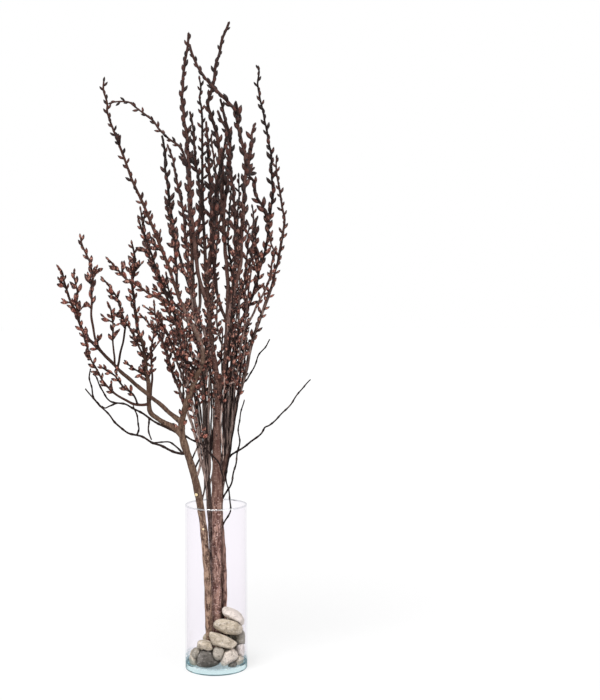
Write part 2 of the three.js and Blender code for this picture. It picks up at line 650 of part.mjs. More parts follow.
function vaseGeometry() {
  const inner = VASE_RADIUS - WALL;
  const outline = [
    [0, 0],
    [VASE_RADIUS - BASE_BEVEL, 0],
    [VASE_RADIUS, BASE_BEVEL],
    [VASE_RADIUS, VASE_HEIGHT - RIM_ROUND],
    [VASE_RADIUS - RIM_ROUND, VASE_HEIGHT],
    [inner + RIM_ROUND, VASE_HEIGHT],
    [inner, VASE_HEIGHT - RIM_ROUND],
    [inner, BASE_THICK + FLOOR_BEVEL],
    [inner - FLOOR_BEVEL, BASE_THICK],
    [0, BASE_THICK],
  ];
  const lathe = new THREE.LatheGeometry(outline.map(([r, z]) => new THREE.Vector2(r, z)), VASE_SIDES);
  return lathe.rotateX(Math.PI / 2);
}

// Stones: centre, half-sizes, tilt about the depth axis and turn about the upright, in degrees.
// The first twelve are plain from the front; the others fill the heap behind and below.
const STONES = [
  { at: [30, -30, 106], half: [38, 24, 19], tilt: 12, turn: 6, colour: 0xb9b3a4 },
  { at: [42, -18, 129], half: [32, 24, 13], tilt: 33, turn: -6, colour: 0xb3afa6 },
  { at: [10, -45, 77], half: [44, 22, 16], tilt: 20, turn: 4, colour: 0xb7b0a0 },
  { at: [56, -6, 72], half: [17, 20, 19], tilt: 0, turn: 20, colour: 0x9d9a92 },
  { at: [-24, -45, 67], half: [23, 18, 11], tilt: 12, turn: -12, colour: 0xc9bfa2 },
  { at: [-20, -42, 34], half: [35, 24, 23], tilt: -12, turn: -8, colour: 0x6f6b64 },
  { at: [3, -53, 49], half: [15, 14, 17], tilt: 20, turn: 0, colour: 0x8d8b80 },
  { at: [29, -42, 36], half: [24, 24, 24], tilt: 15, turn: 0, colour: 0xb5aea0 },
  { at: [60, -20, 44], half: [12, 16, 19], tilt: 0, turn: 25, colour: 0xc9c2b2 },
  { at: [-49, -32, 45], half: [13, 13, 13], tilt: 30, turn: 0, colour: 0x7d7a74 },
  { at: [-56, -24, 25], half: [12, 17, 14], tilt: 0, turn: -20, colour: 0xa8937c },
  { at: [53, -26, 25], half: [14, 18, 15], tilt: 0, turn: 10, colour: 0xa39a88 },
  { at: [40, -50, 19], half: [14, 11, 8], tilt: 0, turn: -30, colour: 0x6e6a62 },
  { at: [47, 18, 33], half: [20, 25, 22], tilt: 8, turn: 10, colour: 0xa9a498 },
  { at: [20, 50, 32], half: [24, 19, 21], tilt: -6, turn: 12, colour: 0x9a958a },
  { at: [-26, 47, 30], half: [25, 20, 19], tilt: 10, turn: -25, colour: 0x8a867d },
  { at: [-47, 9, 27], half: [20, 28, 16], tilt: -8, turn: 8, colour: 0xaaa392 },
  { at: [52, 20, 73], half: [19, 24, 18], tilt: 12, turn: -8, colour: 0xada89c },
  { at: [24, 48, 69], half: [28, 20, 17], tilt: -10, turn: 6, colour: 0x98948a },
  { at: [-14, 50, 57], half: [20, 18, 12], tilt: 6, turn: 14, colour: 0xb0a996 },
  { at: [47, 26, 104], half: [22, 24, 17], tilt: 14, turn: -12, colour: 0xa39e92 },
];

// How far a stone reaches from its centre towards a direction
function reach(stone, direction) {
  const turned = direction.clone().applyQuaternion(stone.spin.clone().invert());
  const [a, b, c] = stone.half;
  return Math.hypot(turned.x * a, turned.y * b, turned.z * c);
}

function stoneWalls(stone, all) {
  const walls = [];
  for (const other of all) {
    if (other === stone) continue;
    const towards = other.centre.clone().sub(stone.centre);
    const apart = towards.length();
    towards.normalize();
    const mine = reach(stone, towards);
    const theirs = reach(other, towards);
    if ((mine + theirs) * STONE_ROOM < apart) continue;
    walls.push({ normal: towards, offset: (apart * mine) / (mine + theirs) - GAP / 2 });
  }
  for (const row of rows.values()) {
    if (row.parent) continue;
    const at = arcLengths(row.path);
    const total = at[at.length - 1];
    const level = along(row.path, at, stone.centre.z).point;
    const away = new THREE.Vector3(level[0], level[1], 0).sub(stone.centre).setZ(0).normalize();
    const tall = Math.max(...stone.half);
    let offset = Infinity;
    for (let s = 0; s < total && s < TRUNK_CHECKED; s += CROWD_STEP) {
      const { point } = along(row.path, at, s);
      if (Math.abs(point[2] - stone.centre.z) > tall) continue;
      const near = away.dot(new THREE.Vector3(...point).sub(stone.centre).setZ(0));
      offset = Math.min(offset, near - profile(row.girth, s / total) - GAP);
    }
    walls.push({ normal: away, offset });
  }
  return walls;
}

function insideVase(p) {
  const inner = (VASE_RADIUS - WALL) * Math.cos(Math.PI / VASE_SIDES) - GAP;
  const r = Math.hypot(p.x, p.y);
  return r <= inner && p.z >= BASE_TOP && r - inner <= p.z - BASE_THICK - FLOOR_BEVEL - GAP;
}

function stoneSolid(stone, all, seed, detail) {
  const walls = stoneWalls(stone, all);
  const random = stream(seed);
  const waves = STONE_WAVES.map((pitch) => ({
    axis: new THREE.Vector3(random() - 0.5, random() - 0.5, random() - 0.5).normalize().multiplyScalar(pitch),
    phase: random() * 2 * Math.PI,
  }));
  const ball = new THREE.IcosahedronGeometry(1, detail).getAttribute('position');
  const positions = [];
  for (let i = 0; i < ball.count; i += 1) {
    const way = new THREE.Vector3().fromBufferAttribute(ball, i);
    const lump = waves.reduce((sum, w) => sum + STONE_LUMP * Math.sin(w.axis.dot(way) + w.phase), 1);
    const spread = way.toArray().reduce((sum, c) => sum + Math.abs(c) ** STONE_SQUARE, 0);
    const full = way.multiply(new THREE.Vector3(...stone.half));
    full.multiplyScalar(lump / spread ** (1 / STONE_SQUARE));
    full.applyQuaternion(stone.spin);
    let low = 0;
    let high = 1;
    const fits = (t) => {
      const p = full.clone().multiplyScalar(t);
      return walls.every((w) => w.normal.dot(p) <= w.offset) && insideVase(p.add(stone.centre));
    };
    if (!fits(1)) {
      for (let k = 0; k < FIT_STEPS; k += 1) {
        const middle = (low + high) / 2;
        if (fits(middle)) low = middle;
        else high = middle;
      }
      full.multiplyScalar(low);
    }
    full.add(stone.centre);
    positions.push(full.x, full.y, full.z);
  }
  const geometry = new THREE.BufferGeometry();
  geometry.setAttribute('position', new THREE.Float32BufferAttribute(positions, 3));
  geometry.computeVertexNormals();
  return geometry;
}

const part = new THREE.Group();
part.name = 'willow_stems_in_glass_vase';

const vase = new THREE.Mesh(vaseGeometry(), paint(0xdfe9ea, 0.05));
vase.name = 'vase';
part.add(vase);

const barks = { left: 0x8a6a4c, centre: 0x84604f, right: 0x4c3229, back: 0x5e4638 };
for (const [stem, colour] of Object.entries(barks)) {
  part.add(namedMesh(`stem_${stem}`, buildStem(stem), paint(colour, 0.75)));
}

const stones = STONES.map((stone) => ({
  ...stone,
  centre: new THREE.Vector3(...stone.at),
  spin: new THREE.Quaternion().setFromEuler(
    new THREE.Euler(0, THREE.MathUtils.degToRad(stone.tilt), THREE.MathUtils.degToRad(stone.turn), 'ZYX'),
  ),
}));
stones.forEach((stone, i) => {
  const detail = i < HIDDEN_FROM ? STONE_DETAIL : HIDDEN_DETAIL;
  const mesh = new THREE.Mesh(stoneSolid(stone, stones, 101 + i * 17, detail), paint(stone.colour, 0.85));
  mesh.name = `stone_${String(i + 1).padStart(2, '0')}`;
  part.add(mesh);
});

export default part;
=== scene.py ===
"""Four cut willow branches with budded twigs, standing in river stones in a clear glass cylinder vase.

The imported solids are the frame. This file gives each of them its fine surface and its finish. The tables
hold millimetres as seen from the front; everything that is built is in metres, +Z up, viewer at -Y.
"""

import json
import logging
import math
from dataclasses import dataclass
from enum import Enum

import bmesh
import bpy
import numpy as np
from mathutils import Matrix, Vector, noise

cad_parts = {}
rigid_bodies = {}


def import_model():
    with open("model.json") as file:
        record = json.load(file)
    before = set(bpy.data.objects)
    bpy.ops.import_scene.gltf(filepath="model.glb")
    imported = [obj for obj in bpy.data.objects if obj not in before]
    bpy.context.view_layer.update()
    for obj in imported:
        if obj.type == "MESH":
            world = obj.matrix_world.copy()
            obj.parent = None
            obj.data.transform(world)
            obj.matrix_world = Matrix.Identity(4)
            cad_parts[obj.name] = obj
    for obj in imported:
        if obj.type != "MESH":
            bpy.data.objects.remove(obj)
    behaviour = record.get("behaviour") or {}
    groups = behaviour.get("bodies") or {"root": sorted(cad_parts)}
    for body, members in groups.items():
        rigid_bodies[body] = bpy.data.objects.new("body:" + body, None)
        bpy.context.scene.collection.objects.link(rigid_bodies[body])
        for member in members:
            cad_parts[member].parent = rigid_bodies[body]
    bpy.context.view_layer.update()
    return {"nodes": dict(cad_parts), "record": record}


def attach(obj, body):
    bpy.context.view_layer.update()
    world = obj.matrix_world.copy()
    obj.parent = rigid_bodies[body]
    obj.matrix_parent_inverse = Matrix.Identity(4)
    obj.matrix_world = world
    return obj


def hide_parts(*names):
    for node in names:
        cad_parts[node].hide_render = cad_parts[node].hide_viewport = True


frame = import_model()

log = logging.getLogger("willow")

# One millimetre; the height of the stems' lower ends; the bare share that leaves a shoot without buds.
MM = 0.001
FOOT = 13.3
BARE = 2.0
BODY = "root"
DEPTH_AXIS = np.array([0.0, 1.0, 0.0])


@dataclass(frozen=True)
class Shoot:
    """One trunk or twig as drawn from the front.

    girth holds [share of the length, radius] stops; depth holds the same for y on a trunk, and the y of the
    tip on a twig; bare is the share of the length from the root that carries no bud.
    """

    name: str
    parent: str
    girth: list
    depth: object
    bare: float
    points: list


def trunk(name: str, girth: list, depth: list, bare: float, points: list) -> Shoot:
    """Returns a main stem that stands on the vase's floor."""
    return Shoot(name, "", girth, depth, bare, points)


def twig(name: str, parent: str, radii: list, tip_depth: float, bare: float, points: list) -> Shoot:
    """Returns a twig that leaves its parent at the point nearest its first one."""
    return Shoot(name, parent, [[0, radii[0]], [1, radii[1]]], tip_depth, bare, points)


SHOOTS = [
    trunk("left", [
      [0, 8.6], [0.27, 9], [0.37, 9], [0.4, 7.7], [0.45, 6.9], [0.5, 6.2], [0.54, 5.6], [0.58, 4.8],
      [0.62, 4.1], [0.74, 3.3], [0.88, 2.5], [1, 1.7],
    ], [[0, -14], [0.29, -27], [1, -150]], 0.4, [
      [-17, FOOT], [-19, 144], [-23, 253], [-31, 350], [-44, 435], [-60, 503], [-75, 549], [-82, 591],
      [-75, 634], [-61, 677], [-46, 716], [-34, 747], [-30, 771], [-39, 802], [-53, 833], [-70, 867],
      [-84, 897], [-98, 940], [-112, 982], [-130, 1027], [-149, 1076], [-165, 1116], [-183, 1156],
      [-194, 1181], [-209, 1225], [-227, 1273], [-246, 1327], [-247, 1352], [-255, 1381], [-253, 1408],
    ]),
    twig("left_elbow", "left", [6.9, 1.7], -60, 0.34, [
      [-80, 574], [-101, 593], [-123, 604], [-142, 617], [-156, 631], [-160, 653], [-159, 677],
      [-161, 705], [-167, 744], [-171, 784], [-182, 820], [-189, 863], [-194, 903], [-196, 939],
      [-189, 982], [-194, 1015], [-198, 1037],
    ]),
    twig("left_hook", "left_elbow", [2.4, 1.5], -95, 0.35, [
      [-168, 753], [-177, 777], [-188, 803], [-193, 819], [-203, 835], [-214, 847], [-232, 840],
    ]),
    twig("left_twin", "left_elbow", [2.7, 1.7], -30, 0.45, [
      [-160, 650], [-154, 672], [-152, 712], [-153, 747], [-152, 783], [-148, 816], [-150, 847],
    ]),
    twig("left_side", "left_elbow", [2.2, 1.5], -100, 0.2, [
      [-164, 717], [-177, 725], [-186, 732], [-201, 744], [-215, 752],
    ]),
    twig("left_low", "left", [5.8, 1.7], -125, 0.55, [
      [-83, 603], [-110, 629], [-135, 653], [-165, 677], [-194, 703], [-219, 726], [-240, 748],
      [-260, 769], [-284, 795], [-308, 825], [-323, 868], [-334, 891], [-342, 915], [-349, 942],
      [-354, 964], [-366, 980],
    ]),
    twig("left_low_a", "left_low", [2.1, 1.5], -150, 0, [
      [-321, 863], [-322, 888], [-319, 911], [-321, 936], [-324, 956], [-323, 972],
    ]),
    twig("left_low_b", "left_low", [2.8, 1.7], -75, 0.38, [
      [-268, 775], [-275, 790], [-283, 815], [-289, 844], [-291, 871], [-289, 901], [-289, 928],
      [-288, 955], [-294, 984], [-304, 1011], [-312, 1029], [-317, 1052],
    ]),
    twig("left_low_c", "left_low", [2.7, 1.7], -60, 0.42, [
      [-229, 738], [-224, 771], [-217, 803], [-213, 835], [-217, 852], [-222, 871], [-227, 891],
      [-238, 914], [-254, 934], [-270, 952],
    ]),
    twig("left_low_d", "left_low", [2.2, 1.5], -145, 0.4, [
      [-237, 746], [-238, 777], [-240, 805], [-237, 833], [-240, 858], [-242, 880], [-250, 896],
    ]),
    twig("left_bow", "left_elbow", [3.3, 1.7], -110, 0.55, [
      [-160, 648], [-174, 648], [-194, 651], [-211, 660], [-232, 674], [-250, 691], [-264, 711],
      [-276, 731], [-290, 732],
    ]),
    twig("left_bow_a", "left_bow", [2.2, 1.5], -140, 0.2, [
      [-184, 650], [-194, 675], [-214, 692], [-228, 712], [-235, 723], [-253, 737], [-268, 751],
    ]),
    twig("left_bow_b", "left_bow", [2.1, 1.5], -150, 0.15, [
      [-273, 728], [-282, 747], [-291, 768], [-297, 793], [-304, 818], [-310, 837],
    ]),
    twig("left_wisp_a", "left", [2.6, 1.3], -75, BARE, [
      [-80, 571], [-106, 587], [-135, 601], [-161, 620], [-195, 640], [-216, 651], [-237, 655],
      [-249, 660], [-262, 675], [-280, 713], [-291, 724],
    ]),
    twig("left_wisp_b", "left_wisp_a", [1.7, 1.3], -85, BARE, [
      [-235, 654], [-250, 648], [-259, 644], [-267, 649],
    ]),
    twig("left_wisp_c", "left", [2.8, 1.3], -60, BARE, [
      [-68, 530], [-93, 531], [-131, 549], [-153, 557], [-178, 572], [-208, 581], [-233, 601],
      [-261, 633], [-288, 663], [-306, 688],
    ]),
    twig("left_wisp_d", "left_wisp_c", [1.8, 1.3], -95, BARE, [
      [-188, 574], [-183, 598], [-185, 623], [-192, 651],
    ]),
    twig("left_wisp_e", "left_wisp_c", [1.8, 1.3], -100, BARE, [
      [-271, 643], [-284, 660], [-290, 675], [-294, 708], [-292, 739],
    ]),
    twig("left_wisp_f", "left_wisp_c", [1.9, 1.3], -30, BARE, [
      [-79, 530], [-97, 548], [-111, 556], [-133, 556], [-154, 554],
    ]),
    twig("left_wisp_g", "left_wisp_a", [1.7, 1.3], -78, BARE, [
      [-158, 618], [-159, 595], [-152, 568],
    ]),
    twig("left_bunch", "left", [3.6, 1.7], -125, 0.22, [
      [-53, 833], [-72, 852], [-91, 870], [-108, 886], [-130, 901], [-153, 912], [-172, 926],
      [-190, 938], [-210, 951], [-226, 969], [-241, 987], [-254, 998],
    ]),
    twig("left_inner", "left", [3, 1.7], -60, 0.3, [
      [-70, 866], [-93, 885], [-115, 914], [-131, 951], [-148, 996], [-162, 1034], [-174, 1068],
      [-183, 1096],
    ]),
    twig("left_front", "left", [3, 1.7], -165, 0.35, [
      [-61, 677], [-77, 712], [-91, 752], [-102, 791], [-113, 824], [-129, 853], [-147, 874],
      [-167, 889],
    ]),
    twig("left_in_a", "left", [2.8, 1.6], -112, 0.16, [
      [-33, 750], [-56, 774], [-77, 805], [-96, 844], [-116, 879], [-129, 910],
    ]),
    twig("left_in_b", "left", [2.8, 1.6], -140, 0.16, [
      [-39, 730], [-63, 746], [-83, 768], [-102, 798], [-118, 827], [-136, 851],
    ]),
    twig("left_mid", "left", [3, 1.6], -85, 0.2, [
      [-87, 909], [-92, 961], [-94, 999], [-96, 1029], [-102, 1067], [-111, 1105], [-118, 1140],
    ]),
    twig("left_red", "left", [3, 1.6], -72, 0.3, [
      [-36, 464], [-37, 503], [-42, 564], [-49, 605], [-57, 646], [-65, 690], [-70, 738], [-72, 778],
    ]),
    twig("left_wisp_x", "left", [2, 1.3], -30, BARE, [
      [-74, 578], [-61, 564], [-37, 553], [-18, 534], [3, 508], [15, 478], [19, 454],
    ]),
    twig("left_in_c", "left", [2.4, 1.5], -48, 0.08, [
      [-30, 785], [-49, 806], [-68, 823], [-89, 834], [-111, 848],
    ]),
    twig("left_in_d", "left", [2.4, 1.5], -140, 0.1, [
      [-44, 735], [-60, 770], [-69, 799], [-76, 833], [-80, 866], [-82, 895],
    ]),
    twig("left_in_e", "left", [2.8, 1.6], -30, 0.12, [
      [-43, 802], [-46, 840], [-55, 877], [-60, 915], [-66, 958], [-67, 996],
    ]),
    trunk("centre", [
      [0, 11.4], [0.17, 11.6], [0.27, 12.6], [0.32, 12], [0.37, 10.6], [0.42, 9.3], [0.47, 8],
      [0.51, 6.3], [0.54, 5.2], [0.63, 4.4], [0.82, 3], [1, 1.7],
    ], [[0, 2], [0.31, 4], [1, -25]], 0.42, [
      [1, FOOT], [1, 163], [1, 272], [2, 388], [2, 453], [2, 526], [4, 587], [5, 636], [4, 677],
      [1, 720], [-6, 769], [-12, 817], [-18, 890], [-23, 962], [-26, 1034], [-30, 1107], [-31, 1179],
      [-31, 1251], [-31, 1299], [-31, 1327], [-33, 1355], [-37, 1377], [-34, 1400], [-38, 1428],
    ]),
    twig("centre_tall", "centre", [5.4, 1.7], 20, 0.4, [
      [10, 667], [18, 715], [24, 768], [27, 841], [30, 913], [26, 986], [21, 1059], [16, 1132],
      [13, 1205], [9, 1265], [-2, 1314], [-16, 1358], [-13, 1386], [-4, 1416], [0, 1455], [8, 1478],
      [18, 1523], [25, 1543], [34, 1564],
    ]),
    twig("centre_arch", "centre_tall", [4.4, 1.7], -20, 0.32, [
      [25, 780], [28, 817], [34, 873], [43, 909], [51, 946], [60, 983], [63, 1039], [66, 1094],
      [69, 1151], [73, 1215], [69, 1254], [56, 1304], [48, 1344], [32, 1368], [0, 1399], [-29, 1431],
      [-51, 1473], [-60, 1504],
    ]),
    twig("centre_arch_a", "centre_arch", [2.1, 1.5], 0, 0.05, [
      [72, 1188], [79, 1210], [82, 1232], [88, 1269], [87, 1295], [97, 1320],
    ]),
    twig("centre_arch_b", "centre_arch", [2.1, 1.5], -45, 0, [
      [54, 1319], [52, 1351], [48, 1367],
    ]),
    twig("centre_left", "centre", [4, 1.7], -60, 0.28, [
      [-17, 878], [-37, 938], [-47, 998], [-54, 1070], [-60, 1142], [-63, 1214], [-68, 1289],
      [-73, 1316], [-75, 1347], [-78, 1374], [-75, 1428], [-71, 1457], [-66, 1482], [-62, 1525],
    ]),
    twig("centre_left_a", "centre", [3.4, 1.7], 5, 0.35, [
      [-5, 769], [-23, 805], [-40, 853], [-52, 902], [-62, 962], [-71, 1035], [-76, 1095], [-83, 1139],
      [-90, 1168], [-99, 1215], [-103, 1237], [-114, 1268],
    ]),
    twig("centre_mid", "centre_tall", [3, 1.7], -55, 0.3, [
      [27, 841], [9, 890], [-1, 950], [-6, 1022], [-3, 1094], [1, 1154], [13, 1214], [25, 1273],
      [31, 1292], [28, 1307], [22, 1328], [13, 1371],
    ]),
    twig("centre_right", "centre_tall", [2.8, 1.7], -60, 0.25, [
      [29, 884], [40, 926], [46, 981], [47, 1034], [46, 1094], [42, 1154], [37, 1201], [33, 1241],
    ]),
    twig("centre_fine", "centre", [2.8, 1.7], 25, 0.3, [
      [-23, 957], [-13, 1010], [-10, 1071], [-11, 1132], [-13, 1180], [-16, 1229], [-18, 1278],
      [-22, 1325],
    ]),
    twig("centre_spur", "centre", [2.7, 1.7], -55, 0.25, [
      [10, 631], [23, 668], [33, 703], [37, 742], [42, 779], [49, 818],
    ]),
    twig("centre_spur_a", "centre", [2.2, 1.5], -55, 0.3, [
      [9, 682], [-6, 707], [-18, 737], [-25, 771], [-26, 806],
    ]),
    twig("centre_spur_b", "centre_tall", [2.2, 1.5], -70, 0.25, [
      [24, 768], [11, 798], [4, 833], [3, 872], [7, 911],
    ]),
    twig("centre_mid_b", "centre_tall", [2.8, 1.6], 10, 0.2, [
      [20, 1095], [26, 1156], [32, 1217], [36, 1277], [27, 1304], [16, 1327], [6, 1350],
    ]),
    twig("centre_fan", "centre", [3.8, 1.7], -46, 0.45, [
      [7, 463], [16, 522], [20, 576], [23, 637], [25, 698], [30, 758], [35, 819], [40, 879], [42, 939],
      [44, 982],
    ]),
    trunk("right", [
      [0, 8.2], [0.2, 8.2], [0.31, 7.5], [0.37, 6.6], [0.43, 5.6], [0.51, 4.8], [0.63, 4.2],
      [0.79, 3.2], [1, 1.7],
    ], [[0, 20], [0.31, 28], [1, 70]], 0.62, [
      [18, FOOT], [18, 157], [18, 223], [15, 291], [10, 349], [10, 400], [17, 463], [24, 500],
      [34, 546], [42, 589], [49, 643], [61, 674], [76, 727], [83, 766], [91, 796], [107, 842],
      [122, 882], [140, 932], [146, 964], [153, 983], [157, 1007], [165, 1052], [170, 1090],
      [165, 1116], [158, 1163], [150, 1210], [151, 1248],
    ]),
    twig("right_inner", "right", [4.2, 1.7], 40, 0.66, [
      [27, 507], [28, 570], [32, 644], [37, 712], [43, 762], [58, 795], [87, 849], [102, 882],
      [124, 925], [134, 951], [138, 981], [142, 1010], [135, 1035], [138, 1062],
    ]),
    twig("right_tall", "right", [4.8, 1.7], 95, 0.36, [
      [24, 490], [25, 558], [31, 631], [38, 691], [46, 765], [55, 814], [63, 840], [84, 885],
      [99, 930], [108, 968], [124, 1020], [131, 1077], [135, 1105], [141, 1148], [139, 1205],
      [139, 1243], [132, 1278], [122, 1339], [114, 1375], [105, 1419], [109, 1454], [102, 1470],
    ]),
    twig("right_tall_a", "right_tall", [2.1, 1.5], 60, 0, [
      [131, 1077], [126, 1097], [116, 1122], [99, 1152], [95, 1180], [80, 1201],
    ]),
    twig("right_tall_b", "right_tall", [2.1, 1.5], 105, 0, [
      [104, 951], [105, 990], [105, 1013], [100, 1028], [100, 1072], [104, 1099],
    ]),
    twig("right_tall_c", "right_tall", [2.2, 1.5], 62, 0.05, [
      [75, 867], [72, 917], [78, 936], [76, 954], [78, 1001], [80, 1035], [80, 1055], [82, 1075],
      [76, 1089],
    ]),
    twig("right_wisp", "right", [2.2, 1.3], 10, BARE, [
      [26, 502], [38, 513], [56, 525], [79, 542], [108, 566], [121, 582], [134, 589], [162, 617],
      [179, 637], [193, 655], [208, 675], [232, 700],
    ]),
    twig("right_wisp_a", "right", [1.8, 1.3], 80, BARE, [
      [65, 689], [78, 700], [89, 717], [101, 740], [109, 760], [123, 777], [134, 794],
    ]),
    twig("right_wisp_b", "right", [2, 1.3], -5, BARE, [
      [18, 400], [32, 436], [45, 476], [51, 511], [56, 553], [55, 586], [62, 623], [67, 653],
    ]),
    twig("right_wisp_c", "right", [1.8, 1.3], -12, BARE, [
      [18, 335], [30, 366], [34, 398], [30, 434], [25, 469], [27, 499],
    ]),
    twig("right_spur", "right", [2.1, 1.5], 30, 0.1, [
      [82, 765], [71, 785], [65, 805], [75, 825], [87, 837],
    ]),
    twig("right_fill", "right_inner", [2.8, 1.7], 20, 0.3, [
      [32, 656], [43, 712], [51, 766], [56, 820], [57, 876], [60, 925], [56, 974], [54, 1022],
      [56, 1064],
    ]),
    twig("right_fill_a", "right_inner", [2.7, 1.7], 80, 0.3, [
      [29, 595], [36, 647], [51, 703], [65, 751], [73, 793], [78, 832],
    ]),
    twig("right_two", "right", [4.2, 1.6], 62, 0.4, [
      [17, 466], [18, 521], [19, 582], [20, 643], [22, 685], [27, 741], [33, 802], [39, 863],
      [46, 924], [51, 981], [54, 1035], [55, 1096], [58, 1158], [57, 1202],
    ]),
    twig("right_b", "right", [3.6, 1.7], 8, 0.4, [
      [23, 495], [33, 546], [40, 608], [46, 669], [52, 718], [60, 775], [68, 816], [75, 877],
      [81, 925], [85, 967],
    ]),
    trunk("back", [
      [0, 6.2], [0.17, 6.8], [0.3, 6.6], [0.37, 5.8], [0.44, 5.2], [0.53, 4.6], [0.67, 3.8],
      [0.83, 2.8], [1, 1.7],
    ], [[0, 29], [0.27, 44], [1, 125]], 0.5, [
      [-6, FOOT], [-8, 155], [-10, 264], [-14, 349], [-18, 410], [-22, 480], [-25, 531], [-27, 592],
      [-29, 653], [-32, 714], [-38, 775], [-45, 837], [-53, 899], [-56, 960], [-58, 1010], [-62, 1072],
      [-65, 1135], [-67, 1197], [-75, 1245], [-89, 1272], [-114, 1290], [-139, 1315], [-152, 1334],
      [-167, 1346], [-197, 1369], [-214, 1381], [-244, 1382], [-262, 1377],
    ]),
    twig("back_left", "back", [3, 1.7], 165, 0.3, [
      [-53, 899], [-73, 948], [-91, 1010], [-104, 1073], [-114, 1136], [-118, 1174], [-123, 1204],
      [-125, 1233], [-125, 1262], [-134, 1302],
    ]),
    twig("back_left_a", "back", [3.3, 1.7], 75, 0.32, [
      [-39, 714], [-55, 751], [-73, 793], [-93, 842], [-117, 892], [-142, 948], [-162, 998],
      [-172, 1047], [-179, 1089], [-184, 1121],
    ]),
    twig("back_mid", "back", [3.4, 1.7], 185, 0.35, [
      [-36, 653], [-23, 701], [-16, 762], [-15, 836], [-19, 898], [-15, 960], [-4, 1023], [4, 1086],
      [5, 1149], [1, 1213], [-6, 1265], [-9, 1308],
    ]),
    twig("back_right", "back", [4.2, 1.7], 160, 0.36, [
      [-23, 482], [-11, 542], [1, 603], [16, 676], [29, 749], [39, 823], [48, 897], [39, 972],
      [32, 1035], [34, 1098], [39, 1149], [44, 1197],
    ]),
    twig("back_right_a", "back_right", [2.8, 1.7], 200, 0.25, [
      [39, 823], [52, 872], [69, 922], [87, 980], [97, 1035], [98, 1081], [94, 1130],
    ]),
    twig("back_fine", "back", [2.8, 1.7], 90, 0.3, [
      [-48, 837], [-38, 886], [-41, 948], [-46, 1010], [-41, 1065], [-36, 1122], [-41, 1184],
      [-48, 1234], [-52, 1283], [-55, 1323], [-62, 1355],
    ]),
    twig("back_low", "back", [4.6, 1.7], 90, 0.4, [
      [-20, 441], [-38, 506], [-53, 567], [-73, 628], [-92, 677], [-112, 733], [-130, 787],
      [-145, 841], [-153, 891],
    ]),
    twig("back_low_a", "back_low", [2.7, 1.7], 130, 0.2, [
      [-93, 677], [-108, 713], [-118, 756], [-138, 798], [-164, 830], [-190, 857],
    ]),
    twig("back_low_b", "back_low", [2.2, 1.5], 60, 0.25, [
      [-73, 628], [-80, 670], [-80, 714], [-85, 759], [-100, 801], [-112, 833],
    ]),
    twig("back_two", "back", [4.6, 1.6], 112, 0.34, [
      [-19, 431], [-18, 489], [-18, 548], [-18, 604], [-17, 660], [-13, 714], [-12, 763], [-13, 824],
      [-9, 886], [-2, 948], [1, 1010], [9, 1072], [18, 1135], [21, 1190], [19, 1240],
    ]),
    twig("back_lean", "back", [3.8, 1.7], 70, 0.42, [
      [-26, 499], [-33, 528], [-40, 585], [-54, 666], [-70, 732], [-85, 788], [-100, 847], [-112, 906],
      [-122, 961],
    ]),
    twig("back_three", "back", [4, 1.7], 138, 0.45, [
      [-21, 470], [-21, 523], [-23, 578], [-26, 639], [-26, 700], [-24, 761], [-20, 823], [-19, 885],
      [-20, 947], [-24, 1005],
    ]),
]

